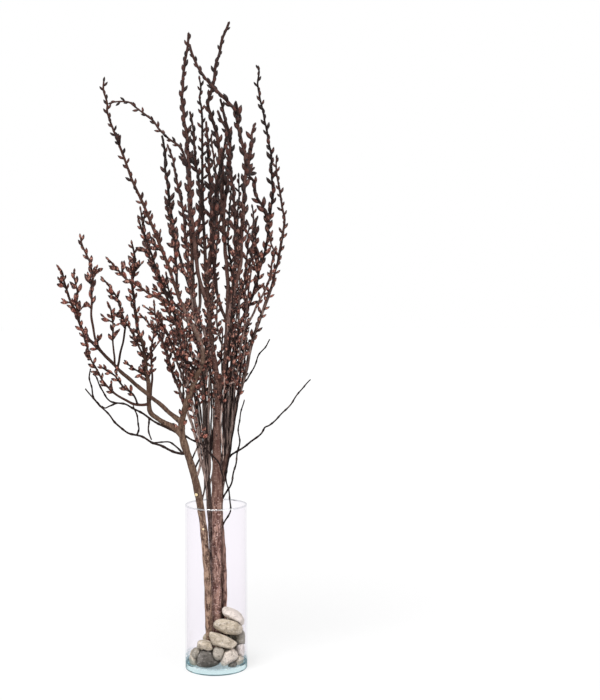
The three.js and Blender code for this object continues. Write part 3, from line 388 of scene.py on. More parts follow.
# Fine stems that fill the bundle between the trunks.
FINE_SHOOTS = [
    twig("centre_run_a", "centre", [2.1, 1.6], -30, 0.72, [
      [10, 477], [17, 515], [12, 576], [13, 625], [18, 669], [22, 718],
    ]),
    twig("right_run_a", "right", [2.0, 1.6], -6, 0.72, [
      [22, 491], [23, 553], [22, 597], [26, 634], [29, 671], [33, 720], [40, 769],
    ]),
    twig("right_run_b", "right", [2.1, 1.6], 14, 0.72, [
      [24, 500], [32, 552], [33, 596], [38, 633], [42, 682], [45, 738], [51, 791], [61, 845],
    ]),
    twig("right_run_c", "right", [1.9, 1.6], 22, 0.72, [
      [26, 508], [36, 561], [43, 615], [52, 664], [60, 708], [68, 762], [75, 815],
    ]),
    twig("right_run_d", "right", [1.8, 1.5], 40, 0.72, [
      [28, 522], [35, 583], [36, 639], [40, 692], [43, 746], [46, 810], [53, 868],
    ]),
    twig("centre_run_b", "centre", [2.0, 1.6], -34, 0.72, [
      [-2, 477], [-12, 527], [-12, 588], [-10, 649], [-12, 703], [-17, 756], [-22, 809],
    ]),
    twig("back_run_a", "back", [2.2, 1.6], 20, 0.72, [
      [-21, 451], [-30, 496], [-35, 545], [-41, 595], [-44, 649], [-47, 698], [-54, 762],
    ]),
    twig("back_run_b", "back", [2.0, 1.6], 10, 0.6, [
      [-20, 431], [-22, 481], [-31, 531], [-40, 576], [-51, 625], [-61, 669], [-75, 719],
      [-89, 768],
    ]),
    twig("left_run_a", "left", [2.0, 1.6], -55, 0.55, [
      [-40, 487], [-28, 541], [-22, 594], [-22, 647], [-28, 695], [-35, 744], [-45, 791],
    ]),
    twig("left_run_b", "left", [1.9, 1.5], -70, 0.5, [
      [-45, 511], [-38, 565], [-35, 619], [-42, 662], [-52, 706], [-66, 744], [-80, 783],
      [-93, 821],
    ]),
    twig("back_run_c", "back", [2.2, 1.6], 60, 0.72, [
      [-17, 422], [-7, 480], [-5, 543], [-6, 605], [-5, 666], [-2, 727],
    ]),
    twig("back_run_d", "back", [2.1, 1.6], 84, 0.72, [
      [-19, 431], [-14, 494], [-17, 562], [-22, 620], [-34, 679], [-42, 737],
    ]),
    twig("right_run_e", "right", [1.9, 1.6], 70, 0.72, [
      [17, 464], [27, 516], [40, 574], [52, 627], [62, 681], [71, 739], [77, 798],
    ]),
    twig("left_run_c", "left", [2.0, 1.6], -42, 0.72, [
      [-35, 398], [-28, 444], [-26, 497], [-27, 550], [-34, 603], [-41, 652], [-50, 700],
      [-58, 743],
    ]),
    twig("back_run_e", "back", [2.2, 1.6], 8, 0.72, [
      [-17, 378], [-23, 423], [-26, 472], [-32, 522], [-43, 572], [-55, 621], [-66, 665],
      [-76, 705],
    ]),
    twig("right_run_f", "right", [2.1, 1.6], 6, 0.72, [
      [18, 434], [28, 489], [37, 543], [46, 597], [53, 651], [58, 705], [62, 753],
    ]),
    twig("centre_run_c", "centre", [2.0, 1.6], 14, 0.72, [
      [5, 550], [9, 603], [14, 656], [16, 709], [14, 767], [17, 826],
    ]),
]


class Stream:
    """A small repeatable number stream."""

    def __init__(self, seed: int) -> None:
        """Starts the stream at a seed."""
        self.state = seed

    def next(self) -> float:
        """Returns the next number between 0 and 1."""
        self.state = (self.state * 48271) % 2147483647
        return self.state / 2147483647

    def between(self, low: float, high: float) -> float:
        """Returns the next number between two limits."""
        return low + (high - low) * self.next()


def late_stream(seed: int) -> Stream:
    """Returns a stream for small seeds, whose own first draws lie close together."""
    return Stream(seed * 9973 + 7919)


class Socket:
    """A node output that takes part in arithmetic, so that a shader's sums read as sums."""

    def __init__(self, tree: bpy.types.NodeTree, out: bpy.types.NodeSocket) -> None:
        """Wraps an output of a node in a tree."""
        self.tree = tree
        self.out = out

    def _math(self, operation: str, other: object = None, swap: bool = False) -> "Socket":
        """Adds one Math node.

        Args:
            operation: the node's operation name.
            other: the second operand, a Socket or a number, or None.
            swap: True where the other operand comes first.

        Returns:
            The node's result.
        """
        made = self.tree.nodes.new("ShaderNodeMath")
        made.operation = operation
        mine, theirs = (1, 0) if swap else (0, 1)
        self.tree.links.new(self.out, made.inputs[mine])
        if isinstance(other, Socket):
            self.tree.links.new(other.out, made.inputs[theirs])
        elif other is not None:
            made.inputs[theirs].default_value = other
        return Socket(self.tree, made.outputs[0])

    def __add__(self, other: object) -> "Socket":
        """Returns self + other."""
        return self._math("ADD", other)

    def __radd__(self, other: object) -> "Socket":
        """Returns other + self."""
        return self._math("ADD", other)

    def __sub__(self, other: object) -> "Socket":
        """Returns self - other."""
        return self._math("SUBTRACT", other)

    def __rsub__(self, other: object) -> "Socket":
        """Returns other - self."""
        return self._math("SUBTRACT", other, swap=True)

    def __mul__(self, other: object) -> "Socket":
        """Returns self * other."""
        return self._math("MULTIPLY", other)

    def most(self, other: object) -> "Socket":
        """Returns the larger of self and other."""
        return self._math("MAXIMUM", other)

    def step(self, low: float, high: float) -> "Socket":
        """Rises smoothly from 0 to 1.

        Args:
            low: where the result is still 0.
            high: where it is 1; a high below low turns it round.

        Returns:
            The share.
        """
        made = self.tree.nodes.new("ShaderNodeMapRange")
        made.interpolation_type = "SMOOTHSTEP"
        self.tree.links.new(self.out, made.inputs["Value"])
        made.inputs["From Min"].default_value = low
        made.inputs["From Max"].default_value = high
        return Socket(self.tree, made.outputs["Result"])


class Nodes:
    """A node tree under construction."""

    def __init__(self, tree: bpy.types.NodeTree) -> None:
        """Starts on a tree."""
        self.tree = tree

    def feed(self, target: bpy.types.NodeSocket, value: object) -> None:
        """Links or sets one input.

        Args:
            target: the input.
            value: a Socket, another node's output or a plain value.
        """
        if isinstance(value, Socket):
            value = value.out
        if isinstance(value, bpy.types.NodeSocket):
            self.tree.links.new(value, target)
        else:
            target.default_value = value

    def node(self, kind: str, settings: dict | None = None, inputs: dict | None = None) -> bpy.types.Node:
        """Adds a node.

        Args:
            kind: the node's type.
            settings: its properties by name.
            inputs: its inputs by name or number, each as feed takes them.

        Returns:
            The node.
        """
        made = self.tree.nodes.new(kind)
        for key, value in (settings or {}).items():
            setattr(made, key, value)
        for key, value in (inputs or {}).items():
            self.feed(made.inputs[key], value)
        return made

    def out(self, node: bpy.types.Node, which: object = 0) -> Socket:
        """Returns one output of a node, ready for sums."""
        return Socket(self.tree, node.outputs[which])


@dataclass(frozen=True)
class Grain:
    """One cloud of noise and how much each axis is stretched for it."""

    scale: float
    detail: float = 3.0
    roughness: float = 0.55
    stretch: tuple = (1.0, 1.0, 1.0)


@dataclass(frozen=True)
class Dots:
    """Scattered dots: their scale, their flatness, their edge and where a noise lets them show."""

    scale: float
    flat: float
    edge: tuple
    shows: tuple


class Shader(Nodes):
    """Builds one material around a Principled shader."""

    def __init__(self, name: str) -> None:
        """Makes an empty material of that name."""
        self.material = bpy.data.materials.new(name)
        self.material.use_nodes = True
        super().__init__(self.material.node_tree)
        self.tree.nodes.clear()
        self.surface = self.tree.nodes.new("ShaderNodeBsdfPrincipled")
        self.end = self.tree.nodes.new("ShaderNodeOutputMaterial")
        self.tree.links.new(self.surface.outputs[0], self.end.inputs["Surface"])

    def place(self, stretch: tuple = (1.0, 1.0, 1.0)) -> Socket:
        """Returns the object coordinates, each axis multiplied by its stretch."""
        where = self.out(self.node("ShaderNodeTexCoord"), "Object")
        return self.out(self.node("ShaderNodeMapping", inputs={"Vector": where, "Scale": stretch}))

    def axes(self) -> tuple:
        """Returns the three object coordinates one by one."""
        split = self.node("ShaderNodeSeparateXYZ", inputs={0: self.place()})
        return tuple(self.out(split, axis) for axis in "XYZ")

    def height(self) -> Socket:
        """Returns the height above the floor."""
        return self.axes()[2]

    def attribute(self, name: str) -> Socket:
        """Returns a named number stored on the mesh."""
        return self.out(self.node("ShaderNodeAttribute", {"attribute_name": name}), "Fac")

    def noise(self, grain: Grain) -> Socket:
        """Returns a cloud of values about 0.5."""
        inputs = {
            "Vector": self.place(grain.stretch),
            "Scale": grain.scale,
            "Detail": grain.detail,
            "Roughness": grain.roughness,
        }
        return self.out(self.node("ShaderNodeTexNoise", inputs=inputs))

    def dots(self, dots: Dots, cloud: Socket) -> Socket:
        """Scatters dots.

        Args:
            dots: their sizes.
            cloud: the noise that lets them show in places.

        Returns:
            1 on a dot and 0 beside it.
        """
        inputs = {"Vector": self.place((1.0, 1.0, dots.flat)), "Scale": dots.scale}
        far = self.out(self.node("ShaderNodeTexVoronoi", inputs=inputs))
        return far.step(*dots.edge) * cloud.step(*dots.shows)

    def blend(self, factor: object, low: object, high: object) -> Socket:
        """Mixes two colours.

        Args:
            factor: the share of the second colour.
            low: the first colour, a tuple or a Socket.
            high: the second colour, a tuple or a Socket.

        Returns:
            The mixed colour.
        """
        made = self.node("ShaderNodeMix", {"data_type": "RGBA"}, {0: factor})
        for key, value in ((6, low), (7, high)):
            self.feed(made.inputs[key], value if isinstance(value, Socket) else (*value, 1.0))
        return self.out(made, 2)

    def clear(self, colour: tuple) -> bpy.types.NodeSocket:
        """Returns a surface that lets light straight through, filtered by a colour."""
        return self.node("ShaderNodeBsdfTransparent", inputs={0: (*colour, 1.0)}).outputs[0]

    def mix(self, factor: object, low: object, high: object) -> bpy.types.NodeSocket:
        """Mixes two surfaces.

        Args:
            factor: the share of the second surface, a Socket or a number.
            low: the first surface.
            high: the second surface.

        Returns:
            The mixed surface.
        """
        return self.node("ShaderNodeMixShader", inputs={0: factor, 1: low, 2: high}).outputs[0]

    def wear(self, **sockets: object) -> None:
        """Sets or links the shader's own sockets; an underscore stands for a space."""
        for key, value in sockets.items():
            colour_or_number = (*value, 1.0) if isinstance(value, tuple) else value
            self.feed(self.surface.inputs[key.replace("_", " ")], colour_or_number)

    def bump(self, height: Socket, strength: float, distance: float) -> None:
        """Roughens the surface.

        Args:
            height: the relief.
            strength: how much of it counts.
            distance: the depth in metres that a height of one stands for.
        """
        inputs = {"Height": height, "Strength": strength, "Distance": distance}
        self.feed(self.surface.inputs["Normal"], self.out(self.node("ShaderNodeBump", inputs=inputs)))


@dataclass(frozen=True)
class BarkFinish:
    """Bark that is rough and streaked on the thick wood and smooth and dark on the twigs.

    A pair says where something starts and where it is full: thick in millimetres of radius, upper,
    bundle_top and bundle_side in metres, the rest in the value of a noise. Weights are the shares of the
    noises and of the tone in a sum.
    """

    name: str
    trunk: tuple
    trunk_dark: tuple
    twig: tuple
    twig_dark: tuple
    lenticel: tuple
    # paler twig colour low in the bundle: partly the twigs' own greyer bark, partly painted light
    twig_low_pale_and_lit: tuple = (0.45, 0.325, 0.285)
    speckle: float = 0.6
    # share of painted shade on the thick wood from about the rim upwards, and how far its lenticels fade
    # there
    shaded: float = 0.72
    unspeckled: float = 0.7
    thick: tuple = (3.4, 6.5)
    upper: tuple = (0.35, 0.45)
    bundle_top: tuple = (1.0, 0.72)
    bundle_side: tuple = (-0.105, -0.06)
    streaks: Grain = Grain(190.0, 4.0, 0.7, (1.0, 1.0, 0.22))
    patches: Grain = Grain(46.0, 4.0, 0.6)
    grit: Grain = Grain(420.0, 2.0)
    cracks: Grain = Grain(120.0, 4.0, 0.7, (1.0, 1.0, 0.35))
    lines: Grain = Grain(330.0, 3.0, 0.7, (1.0, 1.0, 0.05))
    wood_weights: tuple = (0.9, 0.4, 0.15)
    mottle: tuple = (0.40, 0.61)
    young_weights: tuple = (0.6, 0.7)
    young_mottle: tuple = (0.25, 0.95)
    line_weights: tuple = (0.8, 2.6)
    line_mottle: tuple = (0.28, 0.82)
    crack_edge: tuple = (0.42, 0.36)
    crack_share: float = 0.8
    small_dots: Dots = Dots(150.0, 1.3, (0.40, 0.30), (0.44, 0.54))
    broad_dots: Dots = Dots(80.0, 2.6, (0.22, 0.15), (0.45, 0.56))
    relief_weights: tuple = (1.5, 0.35)
    relief_strength: float = 0.9
    relief_depth: float = 0.002
    rough: float = 0.66
    uneven: float = 0.2
    specular: float = 0.12
    scars: tuple = ()
    scar_colour: tuple = (0.78, 0.62, 0.38)
    scar_rim: tuple = (0.035, 0.018, 0.012)
    scar_waver: float = 0.002
    scar_core: tuple = (1.0, 0.8)
    scar_edge: tuple = (1.5, 1.1)

    def build(self) -> bpy.types.Material:
        """Returns the bark's material."""
        made = Shader(self.name)
        x, _, z = made.axes()
        tone = made.attribute("tone")
        thick = (made.attribute("girth") * (1.0 / MM)).step(*self.thick)
        upper = z.step(*self.upper)
        streak = made.noise(self.streaks)
        patch = made.noise(self.patches)
        grit = made.noise(self.grit)
        cracks = made.noise(self.cracks)
        wood = streak * self.wood_weights[0] + patch * self.wood_weights[1] - self.wood_weights[2]
        wood = made.blend(wood.step(*self.mottle), self.trunk_dark, self.trunk)
        # painted shade: the thick wood darkens towards trunk_dark from about the rim upwards
        wood = made.blend(upper * self.shaded, wood, self.trunk_dark)
        young = patch * self.young_weights[0] + tone * self.young_weights[1]
        young = made.blend(young.step(*self.young_mottle), self.twig_dark, self.twig)
        # partly the twigs' own greyer bark, partly painted light: low in the bundle the twigs turn paler,
        # streaked with painted highlights along their length
        bundle_bark_and_light = tone * self.line_weights[0] + (made.noise(self.lines) - 0.5) * self.line_weights[1]
        bundle_bark_and_light = made.blend(bundle_bark_and_light.step(*self.line_mottle), self.twig_dark, self.twig_low_pale_and_lit)
        young = made.blend(z.step(*self.bundle_top) * x.step(*self.bundle_side), young, bundle_bark_and_light)
        colour = made.blend(thick, young, wood)
        split = cracks.step(*self.crack_edge) * thick * self.crack_share
        colour = made.blend(split, colour, self.twig_dark)
        dots = made.dots(self.small_dots, grit).most(made.dots(self.broad_dots, patch))
        # the lenticels fade under the same painted shade from about the rim upwards
        dots = dots * thick * (1.0 - upper * self.unspeckled) * self.speckle
        colour = made.blend(dots, colour, self.lenticel)
        # painted shade: the bark darkens towards twig_dark where it lies close beside another trunk
        colour = made.blend(made.attribute("near"), colour, self.twig_dark)
        colour = self._scarred(made, colour, grit)
        made.wear(Base_Color=colour, Roughness=self.rough + grit * self.uneven)
        made.wear(Specular_IOR_Level=self.specular)
        relief = streak * thick * self.relief_weights[0] + cracks * thick + grit * self.relief_weights[1]
        made.bump(relief, self.relief_strength, self.relief_depth)
        return made.material

    def _scarred(self, made: Shader, colour: Socket, grit: Socket) -> Socket:
        """Lays the pale scars of cut side twigs over a colour.

        Args:
            made: the shader.
            colour: the bark's colour.
            grit: the noise that wavers their edge.

        Returns:
            The colour with the scars.
        """
        for *centre, size in self.scars:
            spot = tuple(value * MM for value in centre)
            away = made.node("ShaderNodeVectorMath", {"operation": "DISTANCE"}, {0: made.place(), 1: spot})
            far = made.out(away, "Value") + (grit - 0.5) * self.scar_waver
            for edge, shade in ((self.scar_edge, self.scar_rim), (self.scar_core, self.scar_colour)):
                inside = far.step(size * MM * edge[0], size * MM * edge[1])
                colour = made.blend(inside, colour, shade)
        return colour


@dataclass(frozen=True)
class BudFinish:
    """A bud under its single smooth scale: near black at the root and the point, lighter on its belly.

    high is the span of height in metres over which the buds take their high colours and lose their painted
    highlight streaks; root and point are shares of a bud's length; the other pairs are in the value of a
    noise.
    """

    name: str
    scale: tuple
    # lit and high_lit are lighter copies of the bud colours that stand partly for painted light
    lit: tuple
    high_scale: tuple = (0.014, 0.0055, 0.0045)
    high_lit: tuple = (0.095, 0.032, 0.023)
    dark: tuple = (0.008, 0.0035, 0.0035)
    # colour of the painted highlight streaks on the buds
    shine: tuple = (0.72, 0.36, 0.27)
    high: tuple = (0.92, 1.22)
    root: tuple = (0.28, 0.10)
    point: tuple = (0.60, 0.90)
    clouds: Grain = Grain(360.0, 2.0)
    shade_weights: tuple = (0.8, 1.6)
    mottle: tuple = (0.20, 0.90)
    streaks: Grain = Grain(330.0, 2.0, stretch=(1.0, 1.0, 0.45))
    painted_glint_edge: tuple = (0.52, 0.60)
    painted_glint_share: float = 0.58
    rough: float = 0.42
    uneven: float = 0.2
    specular: float = 0.25
    relief_strength: float = 0.25
    relief_depth: float = 0.0006

    def build(self) -> bpy.types.Material:
        """Returns the buds' material."""
        made = Shader(self.name)
        up = made.attribute("up")
        height = made.height()
        cloud = made.noise(self.clouds)
        shade = made.attribute("tone") * self.shade_weights[0] + (cloud - 0.5) * self.shade_weights[1]
        shade = shade.step(*self.mottle)
        # partly the buds' own random tone, partly painted light: the lit colours are mixed in by tone and
        # noise
        low = made.blend(shade, self.scale, self.lit)
        high = made.blend(shade, self.high_scale, self.high_lit)
        colour = made.blend(height.step(*self.high), low, high)
        # painted highlight: pale streaks on the buds low down, none in the crown
        painted_glint = made.noise(self.streaks).step(*self.painted_glint_edge) * height.step(*self.high[::-1])
        colour = made.blend(painted_glint * self.painted_glint_share, colour, self.shine)
        colour = made.blend(up.step(*self.root), colour, self.dark)
        colour = made.blend(up.step(*self.point), colour, self.dark)
        made.wear(Base_Color=colour, Roughness=self.rough + cloud * self.uneven)
        made.wear(Specular_IOR_Level=self.specular)
        made.bump(cloud, self.relief_strength, self.relief_depth)
        return made.material


@dataclass(frozen=True)
class StoneFinish:
    """Water-worn stone: one colour clouded by another, with fine dark and pale grains.

    A pair says where something starts and where it is full, in the value of a noise or of the tone.
    """

    name: str
    ground: tuple
    cloud: tuple
    grain: tuple
    fleck: tuple
    bleached: tuple = (0.74, 0.69, 0.67)
    clouds: Grain = Grain(30.0, 4.0, 0.65)
    grains: Grain = Grain(260.0, 4.0, 0.75)
    bands: Grain = Grain(70.0, 3.0, stretch=(1.0, 1.0, 3.2))
    cracks: Grain = Grain(42.0, 5.0, 0.7, (1.0, 1.0, 1.6))
    flecks: Dots = Dots(170.0, 1.0, (0.34, 0.14), (0.42, 0.56))
    weights: tuple = (0.6, 0.4, 0.3)
    mottle: tuple = (0.38, 0.62)
    bleach_from: tuple = (0.55, 1.0)
    bleach_share: float = 0.8
    grain_edge: tuple = (0.52, 0.66)
    grain_share: float = 0.7
    crack_edge: tuple = (0.010, 0.003)
    crack_shows: tuple = (0.42, 0.55)
    crack_share: float = 0.6
    relief_weights: tuple = (1.2, 4.0, 0.5)
    relief_strength: float = 0.7
    relief_depth: float = 0.003
    rough: float = 0.78
    uneven: float = 0.12
    specular: float = 0.2

    def build(self) -> bpy.types.Material:
        """Returns the stone's material."""
        made = Shader(self.name)
        tone = made.attribute("tone")
        broad = made.noise(self.clouds)
        grainy = made.noise(self.grains)
        crack = made.noise(self.cracks)
        mottle = broad * self.weights[0] + made.noise(self.bands) * self.weights[1]
        mottle = mottle + (tone - 0.5) * self.weights[2]
        colour = made.blend(mottle.step(*self.mottle), self.ground, self.cloud)
        colour = made.blend(tone.step(*self.bleach_from) * self.bleach_share, colour, self.bleached)
        colour = made.blend(grainy.step(*self.grain_edge) * self.grain_share, colour, self.grain)
        colour = made.blend(made.dots(self.flecks, broad), colour, self.fleck)
        line = (crack - 0.5).most(0.5 - crack).step(*self.crack_edge) * grainy.step(*self.crack_shows)
        colour = made.blend(line * self.crack_share, colour, self.grain)
        made.wear(Base_Color=colour, Roughness=self.rough + grainy * self.uneven)
        made.wear(Specular_IOR_Level=self.specular)
        grain_height, cloud_height, crack_depth = self.relief_weights
        relief = grainy * grain_height + broad * cloud_height - line * crack_depth
        made.bump(relief, self.relief_strength, self.relief_depth)
        return made.material


@dataclass(frozen=True)
class GlassFinish:
    """Clear glass: a faintly tinted wall, a pale rim, a thick blue-green base; lamps shine through it.

    at_rim, at_base, ring_height, heel_height and flank_height are spans of height in metres; outer is a
    span of the squared distance from the axis; the facing pairs run from 0, face on, to 1, edge on.
    """

    name: str
    wall: tuple = (0.9865, 0.976, 0.991)
    # edge, ring and foot are grey and dark filters: partly the glass's own tint through more glass, partly
    # painted shade in place of refraction
    edge: tuple = (0.90, 0.90, 0.92)
    ring: tuple = (0.34, 0.50, 0.54)
    rim: tuple = (0.84, 0.84, 0.87)
    base: tuple = (0.66, 0.83, 0.86)
    foot: tuple = (0.26, 0.40, 0.43)
    lamp: tuple = (0.97, 0.97, 0.98)
    shine: float = 0.3
    side_shine: float = 0.12
    gloss: float = 0.03
    ior: float = 1.3
    rings: Grain = Grain(1.0, 1.0, stretch=(4.0, 4.0, 190.0))
    ring_edge: tuple = (0.48, 0.54)
    ring_height: tuple = (0.045, 0.014)
    ring_facing: tuple = (0.25, 0.65)
    edge_facing: tuple = (0.80, 0.97)
    shine_facing: tuple = (0.2, 1.0)
    at_rim: tuple = (0.3955, 0.3970)
    at_base: tuple = (0.013, 0.016)
    outer: tuple = (0.0050, 0.0054)
    heel_height: tuple = (0.0042, 0.0025)
    flank_height: tuple = (0.016, 0.013)
    flank_facing: tuple = (0.55, 0.90)
    flank_share: float = 0.75

    def _side(self, made: Shader, up: Socket, facing: Socket) -> bpy.types.NodeSocket:
        """Builds the thin wall with its rings low down and its rim.

        Args:
            made: the shader.
            up: the height.
            facing: how far the glass is turned from the viewer.

        Returns:
            The wall's surface.
        """
        rings = made.noise(self.rings).step(*self.ring_edge) * up.step(*self.ring_height)
        gloss = made.node("ShaderNodeBsdfGlossy", inputs={"Roughness": self.gloss}).outputs[0]
        # partly the wall's own tint through more glass, partly painted shade: edge on, the wall filters grey
        side = made.mix(facing.step(*self.edge_facing), made.clear(self.wall), made.clear(self.edge))
        # painted shade: dark rings low on the wall stand in for the thick base's refraction
        side = made.mix(rings * facing.step(*self.ring_facing), side, made.clear(self.ring))
        side = made.mix(facing.step(*self.shine_facing) * self.side_shine, side, gloss)
        return made.mix(up.step(*self.at_rim), side, made.mix(self.shine, made.clear(self.rim), gloss))

    def build(self) -> bpy.types.Material:
        """Returns the glass's material."""
        made = Shader(self.name)
        x, y, up = made.axes()
        facing = made.out(made.node("ShaderNodeLayerWeight", inputs={"Blend": 0.5}), "Facing")
        outside = (x * x + y * y).step(*self.outer)
        # partly the base's own deeper tint, partly painted shade: a dark line round the heel and, edge on, up
        # the base's flanks
        heel = outside * up.step(*self.heel_height)
        flank = outside * facing.step(*self.flank_facing) * up.step(*self.flank_height) * self.flank_share
        seen = made.mix(up.step(*self.at_base), made.surface.outputs[0], self._side(made, up, facing))
        seen = made.mix(heel.most(flank), seen, made.clear(self.foot))
        made.wear(Base_Color=self.base, Roughness=0.0, IOR=self.ior, Transmission_Weight=1.0)
        ray = made.out(made.node("ShaderNodeLightPath"), "Is Shadow Ray")
        made.feed(made.end.inputs["Surface"], made.mix(ray, seen, made.clear(self.lamp)))
        return made.material


@dataclass(frozen=True)
class PlainFinish:
    """One even matte colour that glows a little, for the floor."""

    name: str
    colour: tuple
    glow: float
    rough: float = 0.9

    def build(self) -> bpy.types.Material:
        """Returns the plain material."""
        made = Shader(self.name)
        made.wear(Base_Color=self.colour, Roughness=self.rough, Specular_IOR_Level=0.1)
        made.wear(Emission_Color=(1.0, 1.0, 1.0), Emission_Strength=self.glow)
        return made.material


def add_object(name: str, mesh: bpy.types.Mesh) -> bpy.types.Object:
    """Returns a new object at the origin that shows the mesh."""
    made = bpy.data.objects.new(name, mesh)
    bpy.context.scene.collection.objects.link(made)
    return made


def mesh_from(name: str, positions: np.ndarray, edges: list, faces: list) -> bpy.types.Mesh:
    """Makes a mesh.

    Args:
        name: its name.
        positions: one row for each vertex.
        edges: loose edges, as pairs of vertex numbers.
        faces: tuples of vertex numbers.

    Returns:
        The mesh.
    """
    made = bpy.data.meshes.new(name)
    made.from_pydata([tuple(p) for p in positions], edges, faces)
    made.update()
    return made


def turned_faces(rows: int, sides: int) -> list:
    """Joins a point, rows of vertices and another point into a turned shape.

    Args:
        rows: how many rows there are.
        sides: how many vertices each row has.

    Returns:
        The faces, as tuples of vertex numbers.
    """
    faces = []
    last = 1 + rows * sides
    top = last - sides
    for k in range(sides):
        n = (k + 1) % sides
        faces.append((0, 1 + n, 1 + k))
        for r in range(rows - 1):
            low = 1 + r * sides
            high = low + sides
            faces.append((low + k, low + n, high + n, high + k))
        faces.append((last, top + k, top + n))
    return faces


def store(mesh: bpy.types.Mesh, name: str, values: np.ndarray) -> None:
    """Keeps a number or a vector for each vertex of a mesh under a name."""
    values = np.asarray(values, dtype=np.float32)
    kind, key = ("FLOAT_VECTOR", "vector") if values.ndim == 2 else ("FLOAT", "value")
    mesh.attributes.new(name, kind, "POINT").data.foreach_set(key, values.ravel())


class GrowTree(Nodes):
    """Builds one geometry node tree with named inputs."""

    def __init__(self, name: str, sizes: dict) -> None:
        """Starts a tree.

        Args:
            name: the tree's name.
            sizes: input name to (socket type, default), besides the geometry and the material.
        """
        super().__init__(bpy.data.node_groups.new(name, "GeometryNodeTree"))
        face = self.tree.interface
        face.new_socket("Geometry", in_out="INPUT", socket_type="NodeSocketGeometry")
        for key, (kind, default) in sizes.items():
            made = face.new_socket(key, in_out="INPUT", socket_type=kind)
            if default is not None:
                made.default_value = default
        face.new_socket("Finish", in_out="INPUT", socket_type="NodeSocketMaterial")
        face.new_socket("Geometry", in_out="OUTPUT", socket_type="NodeSocketGeometry")
        self.start = self.tree.nodes.new("NodeGroupInput")

    def given(self, name: str) -> Socket:
        """Returns one of the tree's own inputs."""
        return self.out(self.start, name)

    def named(self, name: str, kind: str = "FLOAT") -> Socket:
        """Returns the value that the geometry keeps under a name."""
        made = self.node("GeometryNodeInputNamedAttribute", {"data_type": kind}, {"Name": name})
        return self.out(made, "Attribute")

    def close(self, geometry: Socket) -> bpy.types.NodeTree:
        """Smooths, realizes and dresses the geometry, and ends the tree with it.

        Args:
            geometry: the last output of the shape.

        Returns:
            The finished tree.
        """
        real = self.node("GeometryNodeRealizeInstances", inputs={0: geometry})
        smooth = self.node("GeometryNodeSetShadeSmooth", inputs={0: self.out(real)})
        dress = {0: self.out(smooth), "Material": self.given("Finish")}
        self.node("NodeGroupOutput", inputs={0: self.out(self.node("GeometryNodeSetMaterial", inputs=dress))})
        return self.tree


def run_tree(carrier: bpy.types.Object, tree: bpy.types.NodeTree, values: dict) -> bpy.types.Object:
    """Runs a tree on an object and keeps the result as a plain mesh.

    Args:
        carrier: the object whose mesh the tree reads.
        tree: the geometry node tree.
        values: input name to value.

    Returns:
        The same object, its modifier gone and its mesh replaced.
    """
    modifier = carrier.modifiers.new("grow", "NODES")
    modifier.node_group = tree
    ids = {s.name: s.identifier for s in tree.interface.items_tree if s.in_out == "INPUT"}
    for key, value in values.items():
        modifier[ids[key]] = value
    graph = bpy.context.evaluated_depsgraph_get()
    made = bpy.data.meshes.new_from_object(carrier.evaluated_get(graph), depsgraph=graph)
    carrier.modifiers.remove(modifier)
    old = carrier.data
    carrier.data = made
    made.name = carrier.name
    bpy.data.meshes.remove(old)
    tidy_mesh(made)
    return carrier


def tidy_mesh(mesh: bpy.types.Mesh, gap: float = 1e-6) -> None:
    """Joins doubled vertices and turns the faces outwards.

    Args:
        mesh: the mesh, changed in place.
        gap: vertices nearer than this are one.
    """
    work = bmesh.new()
    work.from_mesh(mesh)
    bmesh.ops.remove_doubles(work, verts=work.verts, dist=gap)
    bmesh.ops.recalc_face_normals(work, faces=work.faces)
    work.to_mesh(mesh)
    work.free()


def ride_for(piece: bpy.types.Object, node: str) -> None:
    """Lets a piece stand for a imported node.

    Args:
        piece: the dressed piece.
        node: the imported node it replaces.
    """
    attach(piece, BODY)
    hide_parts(node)
    faces = sum(len(p.vertices) - 2 for p in piece.data.polygons)
    log.info("%s stands for %s: %d triangles", piece.name, node, faces)


def profile(stops: list, at: np.ndarray) -> np.ndarray:
    """Returns the straight-line value between [position, value] stops."""
    return np.interp(at, [s[0] for s in stops], [s[1] for s in stops])


def arc_lengths(path: np.ndarray) -> np.ndarray:
    """Returns the length along a path at each of its points."""
    steps = np.linalg.norm(np.diff(path, axis=0), axis=1)
    return np.concatenate([[0.0], np.cumsum(steps)])


def smooth_path(points: np.ndarray, step: float, samples: int = 12) -> np.ndarray:
    """Draws a smooth curve through the points.

    Args:
        points: the points in millimetres.
        step: the spacing of the result.
        samples: how finely each span is drawn before it is spaced evenly.

    Returns:
        Evenly spaced points along the curve.
    """
    ends = [2 * points[0] - points[1], *points, 2 * points[-1] - points[-2]]
    fine = [points[0]]
    for a, b, c, d in zip(ends, ends[1:], ends[2:], ends[3:]):
        for k in range(1, samples + 1):
            t = k / samples
            lead, lag = (c - a) / 2, (d - b) / 2
            fine.append(
                (2 * t**3 - 3 * t**2 + 1) * b + (t**3 - 2 * t**2 + t) * lead
                + (3 * t**2 - 2 * t**3) * c + (t**3 - t**2) * lag
            )
    fine = np.array(fine)
    at = arc_lengths(fine)
    count = max(3, int(round(at[-1] / step)) + 1)
    even = np.linspace(0, at[-1], count)
    return np.column_stack([np.interp(even, at, fine[:, k]) for k in range(3)])


def unit(vectors: np.ndarray) -> np.ndarray:
    """Returns vectors of length one."""
    return vectors / np.linalg.norm(vectors, axis=-1, keepdims=True)


